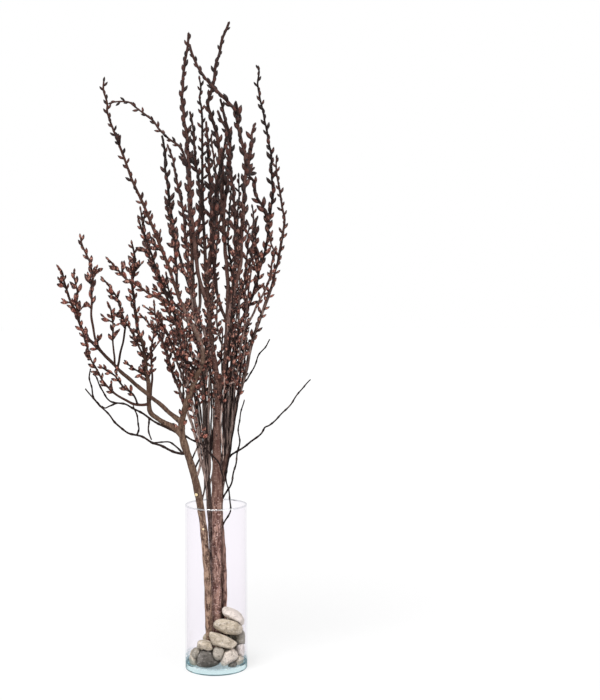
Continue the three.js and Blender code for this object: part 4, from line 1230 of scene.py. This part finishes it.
@dataclass
class Growth:
    """A shoot laid out in space, with the places of its buds."""

    shoot: Shoot
    stem: str
    path: np.ndarray
    seed: int
    high: float = 1040.0
    low: float = 760.0
    crown_from: float = 960.0
    crown_to: float = 1140.0
    high_spacing: float = 14.2
    low_spacing: float = 12.6
    high_length: float = 26.5
    low_length: float = 20.0
    tip_length: float = 13.5
    high_lean: float = 0.42
    low_lean: float = 0.64
    leaf_turn: float = 2.513
    swelling: float = 0.22
    wisp_swelling: float = 0.55
    node_length: float = 3.0
    first_bud: float = 8.0
    wisp_first: float = 12.0
    wisp_spread: float = 2.2
    closer: float = 0.15
    spacing_play: tuple = (0.85, 1.15)
    lean_play: tuple = (-0.15, 0.2)
    length_play: tuple = (0.85, 1.12)
    turn_play: tuple = (-0.3, 0.3)
    sunk: float = 0.85
    bark: float = 1.4
    low_bark: float = 0.2
    bare_bark: float = 0.3
    bark_until: float = 5.0
    bark_span: float = 2.0
    wisp_tone: float = 0.1
    collar: float = 0.35
    collar_length: float = 2.5
    thin_until: float = 3.4
    thin_span: float = 2.4
    knot_share: float = 0.35
    waves: tuple = ((0.045, 9.0, 1), (0.04, 23.0, 2))

    def __post_init__(self) -> None:
        """Measures the path; low down the buds are closer and shorter than high up."""
        middle = float(self.path[:, 2].mean())
        rise = float(np.clip((middle - self.low) / (self.high - self.low), 0.0, 1.0))
        crown = (middle - self.crown_from) / (self.crown_to - self.crown_from)
        self.crown = float(np.clip(crown, 0.0, 1.0))
        self.bud_spacing = self.low_spacing + (self.high_spacing - self.low_spacing) * rise
        self.bud_length = self.low_length + (self.high_length - self.low_length) * rise
        self.lean = self.low_lean + (self.high_lean - self.low_lean) * rise
        self.at = arc_lengths(self.path)
        self.total = float(self.at[-1])
        self.budded = self.shoot.bare < 1
        self.tone = late_stream(self.seed).next() if self.budded else self.wisp_tone
        self.nodes = self._node_places()

    def _node_places(self) -> list:
        """Returns the lengths along the path at which a bud or a leaf scar sits."""
        random = Stream(self.seed)
        places = []
        s = max(self.shoot.bare * self.total, self.first_bud) if self.budded else self.wisp_first
        spread = 1.0 if self.budded else self.wisp_spread
        while s < self.total - self.tip_length:
            places.append(s)
            tighter = 1.0 - self.closer * s / self.total
            s += self.bud_spacing * tighter * spread * random.between(*self.spacing_play)
        return places

    def point(self, s: float) -> tuple:
        """Finds a place on the path.

        Args:
            s: the length along the path.

        Returns:
            The point and the heading there.
        """
        i = int(np.clip(np.searchsorted(self.at, s), 1, len(self.at) - 1))
        step = self.path[i] - self.path[i - 1]
        t = (s - self.at[i - 1]) / (self.at[i] - self.at[i - 1])
        return self.path[i - 1] + step * t, unit(step)

    def radii(self) -> np.ndarray:
        """Returns the radius at each point of the path, swollen at the nodes and at its own root."""
        plain = profile(self.shoot.girth, self.at / self.total)
        bark = self.low_bark + (self.bark - self.low_bark) * self.crown if self.budded else self.bare_bark
        plain = plain + bark * np.clip((self.bark_until - plain) / self.bark_span, 0.0, 1.0)
        knots = np.zeros_like(plain)
        for s in self.nodes:
            knots = np.maximum(knots, np.exp(-(((self.at - s) / self.node_length) ** 2)))
        collar = np.exp(-self.at / (plain[0] * self.collar_length)) if self.shoot.parent else 0.0
        thin = np.clip(self.thin_until - plain, 0.0, self.thin_span) / self.thin_span
        uneven = sum(size * np.sin(self.at / pitch + self.seed * turn) for size, pitch, turn in self.waves)
        swelling = self.swelling if self.budded else self.wisp_swelling
        swollen = swelling * knots * (self.knot_share + (1 - self.knot_share) * thin)
        return plain * (1 + swollen + self.collar * collar + uneven * (1 - thin))

    def buds(self) -> list:
        """Returns each bud as (root point, direction, outward, length, tone)."""
        if not self.budded:
            return []
        random = Stream(self.seed * 7 + 3)
        turn = random.between(0, 2 * math.pi)
        grown = []
        for s in self.nodes:
            f = s / self.total
            point, heading = self.point(s)
            u = unit(np.cross(heading, DEPTH_AXIS))
            v = np.cross(heading, u)
            out = u * math.cos(turn) + v * math.sin(turn)
            lean = self.lean + random.between(*self.lean_play)
            way = unit(heading * math.cos(lean) + out * math.sin(lean))
            size = self.bud_length + (self.tip_length - self.bud_length) * f**3
            size *= random.between(*self.length_play)
            radius = float(profile(self.shoot.girth, f))
            grown.append((point + out * radius * self.sunk, way, out, size, random.next()))
            turn += self.leaf_turn + random.between(*self.turn_play)
        point, heading = self.point(self.total - self.tip_length + 3.0)
        grown.append((point, heading, unit(np.cross(heading, DEPTH_AXIS)), self.tip_length, random.next()))
        return grown


@dataclass
class Spurs:
    """Short side shoots with a few buds each, thickest in the low left of the crown."""

    near: tuple = (-190.0, 830.0)
    reach: tuple = (210.0, 230.0)
    share: float = 0.26
    elsewhere: float = 0.05
    top: float = 1280.0
    length: tuple = (18.0, 44.0)
    girth: tuple = (1.5, 1.1)
    lean: tuple = (0.55, 1.0)
    rise: float = 0.55
    steps: int = 9
    turn: float = 2.2
    turn_play: tuple = (-0.4, 0.4)
    tip_free: float = 40.0

    def of(self, growth: Growth) -> list:
        """Draws the spurs of one shoot.

        Args:
            growth: the shoot they stand on.

        Returns:
            The spurs' paths.
        """
        if not growth.budded:
            return []
        random = Stream(growth.seed * 11 + 5)
        turn = random.between(0, 2 * math.pi)
        drawn = []
        for s in growth.nodes:
            point, heading = growth.point(s)
            dx = (point[0] - self.near[0]) / self.reach[0]
            dz = (point[2] - self.near[1]) / self.reach[1]
            share = self.elsewhere + self.share * math.exp(-(dx * dx + dz * dz) ** 2)
            turn += self.turn + random.between(*self.turn_play)
            wanted = random.next() < share and point[2] < self.top and s < growth.total - self.tip_free
            lean = random.between(*self.lean)
            size = random.between(*self.length)
            if not wanted:
                continue
            u = unit(np.cross(heading, DEPTH_AXIS))
            out = u * math.cos(turn) + np.cross(heading, u) * math.sin(turn)
            way = unit(heading * math.cos(lean) + out * math.sin(lean))
            along = np.linspace(0.0, 1.0, self.steps)[:, None]
            bent = unit(way + np.array([0.0, 0.0, self.rise]))
            drawn.append(point + size * (way * along * (1 - along / 2) + bent * along**2 / 2))
        return drawn


@dataclass
class Thicket:
    """All the shoots laid out in space, and the room that each stem takes.

    step is the spacing of the points along each path, clear the air that a bud or a spur keeps from another
    stem, wobble and wisp_wobble how far a shoot or a bare wisp wavers, all in millimetres.
    """

    shoots: list
    spurs: Spurs
    step: float = 3.5
    clear: float = 0.8
    wobble: float = 0.5
    wisp_wobble: float = 1.1
    pitches: tuple = (26.0, 61.0)
    ease_length: float = 20.0
    spur_bare: float = 0.3
    spur_first_bud: float = 5.0
    bud_room: tuple = ((0.42, 0.2), (0.7, 0.16), (1.0, 0.03))

    def __post_init__(self) -> None:
        """Lays out the shoots, parents first, then their spurs."""
        self.growths: dict = {}
        for index, shoot in enumerate(self.shoots):
            self.growths[shoot.name] = self._lay(shoot, 11 + 37 * (index + 1))
        self.balls = {stem: [] for stem in {g.stem for g in self.growths.values()}}
        for growth in self.growths.values():
            self.balls[growth.stem].append(np.column_stack([growth.path, growth.radii()]))
        for growth in list(self.growths.values()):
            for index, path in enumerate(self.spurs.of(growth)):
                self._add_spur(growth, path, list(self.spurs.girth), index)

    def _add_spur(self, growth: Growth, path: np.ndarray, girth: list, index: int) -> None:
        """Adds one spur where it stands clear of the other stems.

        Args:
            growth: the shoot it stands on.
            path: its points.
            girth: its radius at the root and at the tip.
            index: its number on that shoot.
        """
        room = np.column_stack([path, np.full(len(path), girth[0] + self.clear * 2)])
        if not self._clear(room, growth.stem):
            return
        name = f"{growth.shoot.name}_spur_{index}"
        row = twig(name, growth.shoot.name, girth, float(path[-1][1]), self.spur_bare, [])
        seed = growth.seed * 3 + index * 17 + 1
        made = Growth(row, growth.stem, path, seed, first_bud=self.spur_first_bud)
        self.growths[name] = made
        self.balls[growth.stem].append(np.column_stack([made.path, made.radii()]))

    def _clear(self, spots: np.ndarray, stem: str) -> bool:
        """Tells whether balls [x, y, z, radius] stand clear of every other stem."""
        others = np.concatenate([b for name, rows in self.balls.items() if name != stem for b in rows])
        gaps = np.linalg.norm(others[None, :, :3] - spots[:, None, :3], axis=2)
        return bool((gaps - others[None, :, 3] - spots[:, None, 3]).min() > self.clear)

    def _lay(self, shoot: Shoot, seed: int) -> Growth:
        """Gives a shoot its depth and its smooth path.

        Args:
            shoot: the row.
            seed: where its random draws start.

        Returns:
            The shoot in space.
        """
        flat = np.array([[x, 0.0, z] for x, z in shoot.points], dtype=float)
        at = arc_lengths(flat)
        share = at / at[-1]
        if shoot.parent:
            parent = self.growths[shoot.parent]
            gaps = np.hypot(parent.path[:, 0] - flat[0, 0], parent.path[:, 2] - flat[0, 2])
            root = parent.path[int(np.argmin(gaps))]
            flat[:, 1] = root[1] + (shoot.depth - root[1]) * share
            flat[0] = root
            stem = parent.stem
        else:
            flat[:, 1] = profile(shoot.depth, share)
            stem = shoot.name
        path = smooth_path(flat, self.step)
        if shoot.parent:
            path = self._waver(path, seed, self.wobble if shoot.bare < 1 else self.wisp_wobble)
        return Growth(shoot, stem, path, seed)

    def _waver(self, path: np.ndarray, seed: int, wobble: float) -> np.ndarray:
        """Gives a path a slight waver, none at its root.

        Args:
            path: its points.
            seed: where its random draws start.
            wobble: how far it wavers.

        Returns:
            The moved points.
        """
        random = Stream(seed * 5 + 1)
        at = arc_lengths(path)
        ease = np.clip(at / self.ease_length, 0.0, 1.0)
        moved = path.copy()
        for axis in (0, 1):
            for pitch in self.pitches:
                phase = random.between(0, 2 * math.pi)
                moved[:, axis] += ease * wobble * np.sin(at / pitch * math.pi + phase)
        return moved

    def of(self, stem: str) -> list:
        """Returns the shoots of one stem."""
        return [g for g in self.growths.values() if g.stem == stem]

    def buds_of(self, stem: str) -> list:
        """Returns the buds of a stem that stand clear of every other stem, and keeps their room.

        Args:
            stem: the stem's name.

        Returns:
            The buds as Growth.buds gives them.
        """
        kept = []
        for growth in self.of(stem):
            for bud in growth.buds():
                point, way, _, size, _ = bud
                spots = np.array([[*(point + way * size * f), size * w] for f, w in self.bud_room])
                if self._clear(spots, stem):
                    kept.append(bud)
                    self.balls[stem].append(spots)
        return kept


@dataclass
class SweepTree:
    """Geometry nodes that sweep a round section along the shoots and roughen the thick wood."""

    relief: float = 0.00055
    relief_scale: float = 160.0
    relief_stretch: tuple = (1.0, 1.0, 0.3)
    relief_level: float = 0.56
    relief_gain: float = 6.0
    thick: tuple = (0.0015, 0.008)

    def build(self) -> bpy.types.NodeTree:
        """Returns the tree; its inputs are the sides, the relief and the finish."""
        sizes = {"Sides": ("NodeSocketInt", 12), "Relief": ("NodeSocketFloat", self.relief)}
        made = GrowTree("sweep_bark", sizes)
        curve = made.node("GeometryNodeMeshToCurve", inputs={0: made.given("Geometry")})
        around = {"Resolution": made.given("Sides"), "Radius": 1.0}
        ring = made.node("GeometryNodeCurvePrimitiveCircle", inputs=around)
        sweep = {
            "Curve": made.out(curve),
            "Profile Curve": made.out(ring),
            "Scale": made.named("girth"),
            "Fill Caps": True,
        }
        swept = made.node("GeometryNodeCurveToMesh", inputs=sweep)
        where = {0: made.out(made.node("GeometryNodeInputPosition")), 1: self.relief_stretch}
        drawn = made.out(made.node("ShaderNodeVectorMath", {"operation": "MULTIPLY"}, where))
        cloud = {"Vector": drawn, "Scale": self.relief_scale, "Detail": 3.0}
        rough = made.out(made.node("ShaderNodeTexNoise", inputs=cloud))
        span = {"Value": made.named("girth"), "From Min": self.thick[0], "From Max": self.thick[1]}
        thick = made.out(made.node("ShaderNodeMapRange", {"clamp": True}, span))
        depth = (rough - self.relief_level) * thick * made.given("Relief") * self.relief_gain
        push = {0: made.out(made.node("GeometryNodeInputNormal")), "Scale": depth}
        offset = made.out(made.node("ShaderNodeVectorMath", {"operation": "SCALE"}, push))
        moved = made.node("GeometryNodeSetPosition", inputs={0: made.out(swept), "Offset": offset})
        return made.close(made.out(moved))


class BudTree:
    """Geometry nodes that set a bud on each point, along its direction and of its length."""

    def build(self) -> bpy.types.NodeTree:
        """Returns the tree; its inputs are the bud's shape and the finish."""
        made = GrowTree("set_buds", {"Bud": ("NodeSocketObject", None)})
        points = made.node("GeometryNodeMeshToPoints", inputs={0: made.given("Geometry")})
        source = {"Object": made.given("Bud"), "As Instance": False}
        shape = made.node("GeometryNodeObjectInfo", inputs=source)
        aim = {0: made.named("way", "FLOAT_VECTOR"), 1: made.named("out", "FLOAT_VECTOR")}
        turned = made.node("FunctionNodeAxesToRotation", inputs=aim)
        setting = {
            "Points": made.out(points),
            "Instance": made.out(shape, "Geometry"),
            "Rotation": made.out(turned),
            "Scale": made.named("size"),
        }
        placed = made.node("GeometryNodeInstanceOnPoints", inputs=setting)
        return made.close(made.out(placed))


@dataclass
class BudShape:
    """One bud of unit length along +Z, its back to -X: a collar, a full belly and a bent point."""

    sides: int = 8
    flatten: float = 0.9
    bend: float = 0.035
    keel: float = 0.12
    root: float = -0.06
    outline: tuple = (
        (-0.03, 0.085),
        (0.04, 0.125),
        (0.09, 0.11),
        (0.2, 0.165),
        (0.36, 0.21),
        (0.54, 0.212),
        (0.72, 0.165),
        (0.88, 0.085),
    )

    def build(self, name: str) -> bpy.types.Object:
        """Builds one bud.

        Args:
            name: the object's name.

        Returns:
            The bud, which isn't shown by itself.
        """
        positions = [(0.0, 0.0, self.root)]
        up = [0.0]
        for z, radius in self.outline:
            lean = -self.bend * z * z
            for k in range(self.sides):
                a = 2 * math.pi * k / self.sides
                keel = 1.0 + self.keel * max(0.0, math.cos(a)) ** 3
                positions.append((radius * self.flatten * keel * math.cos(a) + lean, radius * math.sin(a), z))
                up.append(max(z, 0.0))
        positions.append((-self.bend, 0.0, 1.0))
        up.append(1.0)
        mesh = mesh_from(name, np.array(positions), [], turned_faces(len(self.outline), self.sides))
        store(mesh, "up", np.array(up))
        return add_object(name, mesh)


@dataclass
class WillowStem:
    """One cut branch: its bark swept along every shoot, and its buds."""

    name: str
    slot: str
    bark: BarkFinish
    buds: BudFinish
    trunk_sides: int = 20
    twig_sides: int = 8
    stout: float = 5.0
    # reach in millimetres and strength of the painted shade on the wood beside another trunk
    gap_shade_reach: float = 6.5
    gap_shade_strength: float = 1.4

    def _carrier(self, name: str, growths: list) -> bpy.types.Object:
        """Draws the shoots' centre lines.

        Args:
            name: the object's name.
            growths: the shoots.

        Returns:
            One object of loose edges that keeps each point's girth and tone.
        """
        positions, edges, girths, tones = [], [], [], []
        for growth in growths:
            base = len(positions)
            positions.extend(growth.path * MM)
            edges.extend((base + k, base + k + 1) for k in range(len(growth.path) - 1))
            girths.extend(growth.radii() * MM)
            tones.extend([growth.tone] * len(growth.path))
        mesh = mesh_from(name, np.array(positions), edges, [])
        store(mesh, "girth", np.array(girths))
        store(mesh, "tone", np.array(tones))
        return add_object(name, mesh)

    def _shade(self, piece: bpy.types.Object, thicket: Thicket) -> None:
        """Keeps, for each vertex of the wood, how much painted shade it takes from lying close beside another
        trunk.

        Args:
            piece: the swept wood.
            thicket: all shoots in space.
        """
        mesh = piece.data
        spots = np.array([v.co for v in mesh.vertices]) / MM
        trunks = [g for g in thicket.growths.values() if not g.shoot.parent and g.stem != self.name]
        balls = np.concatenate([np.column_stack([g.path, g.radii()]) for g in trunks])
        near = []
        for rows in np.array_split(spots, 1 + len(spots) // 1000):
            gaps = np.linalg.norm(rows[:, None, :] - balls[None, :, :3], axis=2) - balls[None, :, 3]
            # painted shade that fades as the gap to the nearest other trunk grows
            near.append(np.clip(self.gap_shade_strength - gaps.min(axis=1) / self.gap_shade_reach, 0.0, 1.0))
        store(mesh, "near", np.concatenate(near))

    def build(
        self,
        thicket: Thicket,
        sweep: bpy.types.NodeTree,
        setter: bpy.types.NodeTree,
        bud: bpy.types.Object,
    ) -> None:
        """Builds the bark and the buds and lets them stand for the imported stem.

        Args:
            thicket: all shoots in space.
            sweep: the tree that sweeps bark.
            setter: the tree that sets buds.
            bud: the shape of one bud.
        """
        bark = self.bark.build()
        growths = thicket.of(self.name)
        stout = [g for g in growths if g.shoot.girth[0][1] > self.stout]
        slim = [g for g in growths if g.shoot.girth[0][1] <= self.stout]
        for part, chosen, sides in (("wood", stout, self.trunk_sides), ("twigs", slim, self.twig_sides)):
            piece = self._carrier(f"{self.name}_{part}", chosen)
            run_tree(piece, sweep, {"Sides": sides, "Finish": bark})
            if part == "wood":
                self._shade(piece, thicket)
            ride_for(piece, f"stem_{self.name}")
        grown = thicket.buds_of(self.name)
        roots, ways, outs, sizes, tones = (np.array(column) for column in zip(*grown))
        points = mesh_from(f"{self.name}_buds", roots * MM, [], [])
        for name, values in (("way", ways), ("out", outs), ("size", sizes * MM), ("tone", tones)):
            store(points, name, values)
        piece = add_object(f"{self.name}_buds", points)
        run_tree(piece, setter, {"Bud": bud, "Finish": self.buds.build()})
        ride_for(piece, f"stem_{self.name}")
        log.info("%s carries %d buds on %d shoots", self.name, len(grown), len(growths))


@dataclass
class GlassVase:
    """The clear cylinder: straight wall, thick base with a rounded heel, polished rim."""

    height: float = 0.400
    radius: float = 0.075
    wall: float = 0.0038
    base: float = 0.013
    heel: float = 0.0025
    floor_round: float = 0.003
    sides: int = 192
    arc_steps: int = 6

    def _arc(self, centre: tuple, radius: float, start: float, end: float) -> list:
        """Draws an arc of the outline.

        Args:
            centre: its middle, as (distance from the axis, height).
            radius: its radius.
            start: the angle it starts at, in degrees.
            end: the angle it ends at.

        Returns:
            Its points.
        """
        made = []
        for k in range(self.arc_steps + 1):
            a = math.radians(start + (end - start) * k / self.arc_steps)
            made.append((centre[0] + radius * math.cos(a), centre[1] + radius * math.sin(a)))
        return made

    def _outline(self) -> list:
        """Returns the turned outline from the axis under the base to the axis on the floor."""
        inner = self.radius - self.wall
        lip = self.wall / 2
        rows = self._arc((self.radius - self.heel, self.heel), self.heel, -90, 0)
        rows += [(self.radius, self.height * k / 5) for k in (1, 2, 3, 4)]
        rows += self._arc((self.radius - lip, self.height - lip), lip, 0, 180)
        rows += [(inner, self.height * k / 5) for k in (4, 3, 2, 1)]
        corner = (inner - self.floor_round, self.base + self.floor_round)
        rows += self._arc(corner, self.floor_round, 0, -90)
        return rows

    def build(self, finish: GlassFinish) -> bpy.types.Object:
        """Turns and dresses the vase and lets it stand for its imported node.

        Args:
            finish: the glass.

        Returns:
            The vase.
        """
        rows = self._outline()
        positions = [(0.0, 0.0, 0.0)]
        for r, z in rows:
            for k in range(self.sides):
                a = 2 * math.pi * k / self.sides
                positions.append((r * math.cos(a), r * math.sin(a), z))
        positions.append((0.0, 0.0, self.base))
        mesh = mesh_from("glass_vase", np.array(positions), [], turned_faces(len(rows), self.sides))
        tidy_mesh(mesh)
        mesh.shade_smooth()
        mesh.materials.append(finish.build())
        piece = add_object("glass_vase", mesh)
        ride_for(piece, "vase")
        return piece


class StoneKind(Enum):
    """The kinds of river stone, by the record's slot."""

    PALE = "pale_stone"
    GREY = "grey_stone"
    DARK = "dark_stone"


@dataclass
class StoneHeap:
    """The loose river stones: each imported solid, rounded and worn."""

    finishes: dict
    tones: dict
    levels: int = 3
    smoothing: int = 10
    wear: float = 0.0009
    wear_scale: float = 55.0
    fine_wear: float = 2.7
    fine_share: float = 0.5
    wear_level: float = 0.6
    hidden_tone: float = 0.5
    weld: float = 1e-5

    def _round(self, node: str) -> bpy.types.Mesh:
        """Rounds and slightly pits a copy of a packed stone.

        Args:
            node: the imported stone's name.

        Returns:
            The new mesh.
        """
        source = frame["nodes"][node]
        rough = source.data.copy()
        tidy_mesh(rough, self.weld)
        carrier = add_object(f"{node}_rough", rough)
        rounder = carrier.modifiers.new("round", "SUBSURF")
        rounder.subdivision_type = "SIMPLE"
        rounder.levels = self.levels
        graph = bpy.context.evaluated_depsgraph_get()
        made = bpy.data.meshes.new_from_object(carrier.evaluated_get(graph), depsgraph=graph)
        bpy.data.objects.remove(carrier)
        bpy.data.meshes.remove(rough)
        work = bmesh.new()
        work.from_mesh(made)
        axes = {"use_axis_x": True, "use_axis_y": True, "use_axis_z": True}
        for _ in range(self.smoothing):
            bmesh.ops.smooth_vert(work, verts=work.verts, factor=0.5, **axes)
        work.normal_update()
        for vert in work.verts:
            spot = vert.co * self.wear_scale
            pit = noise.noise(spot) + self.fine_share * noise.noise(spot * self.fine_wear)
            vert.co += vert.normal * self.wear * (pit - self.wear_level)
        work.to_mesh(made)
        work.free()
        return made

    def build(self) -> None:
        """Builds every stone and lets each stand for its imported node."""
        dressed = {kind: finish.build() for kind, finish in self.finishes.items()}
        slots = {row["node"]: row["material_slot"] for row in frame["record"]["subparts"]}
        names = sorted(name for name in frame["nodes"] if name.startswith("stone_"))
        for index, name in enumerate(names):
            mesh = self._round(name)
            tone = self.tones.get(name, self.hidden_tone * late_stream(index).next())
            store(mesh, "tone", np.full(len(mesh.vertices), tone))
            mesh.materials.clear()
            mesh.materials.append(dressed[StoneKind(slots[name])])
            mesh.shade_smooth()
            piece = add_object(f"river_{name}", mesh)
            ride_for(piece, name)


@dataclass
class Studio:
    """The pale floor, soft light and camera."""

    floor_colour: tuple = (0.24, 0.24, 0.24)
    floor_glow: float = 0.66
    floor_half: float = 14.0
    floor_gap: float = 0.0004
    seen_white: float = 1.0
    fill_light: float = 0.42
    suns: tuple = (
        ("key_sun", 3.5, 40.0, (0.34, 0.62, -1.0)),
        ("fill_sun", 1.1, 60.0, (-0.75, 0.8, -0.45)),
    )
    camera_at: tuple = (-0.0118, -3.38, 1.02)
    looks_at: tuple = (0.2040, 0.0, 0.8876)
    lens: float = 71.97
    rise: float = -0.0675

    def _world(self) -> bpy.types.World:
        """Returns a white world that is seen brighter than it lights."""
        world = bpy.data.worlds.new("soft_white")
        world.use_nodes = True
        tree = world.node_tree
        sky = tree.nodes["Background"]
        sky.inputs["Color"].default_value = (1.0, 1.0, 1.0, 1.0)
        ray = Socket(tree, tree.nodes.new("ShaderNodeLightPath").outputs["Is Diffuse Ray"])
        strength = self.seen_white - ray * (self.seen_white - self.fill_light)
        tree.links.new(strength.out, sky.inputs["Strength"])
        return world

    def _sun(self, name: str, strength: float, spread: float, aim: tuple) -> None:
        """Adds one broad soft sun.

        Args:
            name: its name.
            strength: how bright it is.
            spread: its width in degrees.
            aim: the way its light goes.
        """
        data = bpy.data.lights.new(name, "SUN")
        data.energy = strength
        data.angle = math.radians(spread)
        lamp = bpy.data.objects.new(name, data)
        lamp.rotation_euler = Vector(aim).to_track_quat("-Z", "Y").to_euler()
        bpy.context.scene.collection.objects.link(lamp)

    def build(self) -> None:
        """Builds the floor, the world, the suns and the camera."""
        scene = bpy.context.scene
        half = self.floor_half
        corners = [(x * half, y * half, -self.floor_gap) for x, y in ((-1, -1), (1, -1), (1, 1), (-1, 1))]
        floor = add_object("floor", mesh_from("floor", np.array(corners), [], [(0, 1, 2, 3)]))
        floor.data.materials.append(PlainFinish("pale_floor", self.floor_colour, self.floor_glow).build())
        scene.world = self._world()
        for row in self.suns:
            self._sun(*row)
        data = bpy.data.cameras.new("camera")
        data.lens = self.lens
        data.sensor_width = 36.0
        data.shift_y = self.rise
        camera = bpy.data.objects.new("camera", data)
        camera.location = self.camera_at
        aim = Vector(self.looks_at) - Vector(self.camera_at)
        camera.rotation_euler = aim.to_track_quat("-Z", "Y").to_euler()
        scene.collection.objects.link(camera)
        scene.camera = camera
        scene.view_settings.view_transform = "Standard"


RED_BUD = BudFinish("red_buds", scale=(0.030, 0.0062, 0.0048), lit=(0.18, 0.047, 0.032))
DARK_BUD = BudFinish("dark_buds", scale=(0.026, 0.0062, 0.0048), lit=(0.165, 0.046, 0.032))

LEFT_BARK = BarkFinish(
    "olive_bark",
    trunk=(0.35, 0.235, 0.165),
    trunk_dark=(0.085, 0.047, 0.033),
    twig=(0.062, 0.028, 0.021),
    twig_dark=(0.014, 0.007, 0.006),
    lenticel=(0.50, 0.38, 0.26),
    speckle=0.5,
    mottle=(0.45, 0.58),
    scars=((-47, -33, 429, 5.0), (-31, -33, 345, 3.2)),
)
CENTRE_BARK = BarkFinish(
    "pink_bark",
    trunk=(0.39, 0.24, 0.188),
    trunk_dark=(0.10, 0.046, 0.037),
    twig=(0.075, 0.036, 0.030),
    twig_dark=(0.012, 0.006, 0.005),
    lenticel=(0.60, 0.43, 0.37),
    speckle=0.9,
)
RIGHT_BARK = BarkFinish(
    "dark_bark",
    trunk=(0.50, 0.305, 0.24),
    trunk_dark=(0.08, 0.040, 0.032),
    twig=(0.068, 0.032, 0.026),
    twig_dark=(0.010, 0.005, 0.005),
    lenticel=(0.42, 0.28, 0.23),
)
BACK_BARK = BarkFinish(
    "grey_bark",
    trunk=(0.17, 0.115, 0.098),
    trunk_dark=(0.026, 0.017, 0.014),
    twig=(0.064, 0.033, 0.027),
    twig_dark=(0.010, 0.006, 0.005),
    lenticel=(0.36, 0.30, 0.26),
    speckle=0.4,
)
PALE_STONE = StoneFinish(
    "pale_stone",
    ground=(0.37, 0.315, 0.225),
    cloud=(0.66, 0.59, 0.46),
    grain=(0.13, 0.11, 0.085),
    fleck=(0.64, 0.60, 0.54),
)
GREY_STONE = StoneFinish(
    "grey_stone",
    ground=(0.22, 0.20, 0.155),
    cloud=(0.45, 0.415, 0.34),
    grain=(0.07, 0.064, 0.056),
    fleck=(0.48, 0.46, 0.41),
)
DARK_STONE = StoneFinish(
    "dark_stone",
    ground=(0.095, 0.088, 0.073),
    cloud=(0.23, 0.215, 0.185),
    grain=(0.025, 0.023, 0.021),
    fleck=(0.36, 0.345, 0.31),
)
TONES = {
    "stone_01": 0.5,
    "stone_02": 0.80,
    "stone_03": 0.6,
    "stone_04": 0.3,
    "stone_05": 0.55,
    "stone_06": 0.3,
    "stone_07": 0.5,
    "stone_08": 0.74,
    "stone_09": 1.0,
    "stone_10": 0.4,
    "stone_11": 0.6,
    "stone_12": 0.68,
}


def main() -> None:
    """Builds the arrangement piece by piece, then the studio round it."""
    logging.basicConfig(level=logging.INFO, format="%(name)s: %(message)s")
    GlassVase().build(GlassFinish("clear_glass"))
    stones = {StoneKind.PALE: PALE_STONE, StoneKind.GREY: GREY_STONE, StoneKind.DARK: DARK_STONE}
    StoneHeap(stones, TONES).build()
    thicket = Thicket(SHOOTS + FINE_SHOOTS, Spurs())
    sweep = SweepTree().build()
    setter = BudTree().build()
    bud = BudShape().build("bud_shape")
    stems = (
        WillowStem("left", "olive_bark", LEFT_BARK, RED_BUD),
        WillowStem("centre", "pink_bark", CENTRE_BARK, DARK_BUD),
        WillowStem("right", "dark_bark", RIGHT_BARK, DARK_BUD, gap_shade_reach=11.0),
        WillowStem("back", "grey_bark", BACK_BARK, DARK_BUD),
    )
    for stem in stems:
        stem.build(thicket, sweep, setter, bud)
    bpy.data.objects.remove(bud)
    Studio().build()


if __name__ == "__main__":
    main()
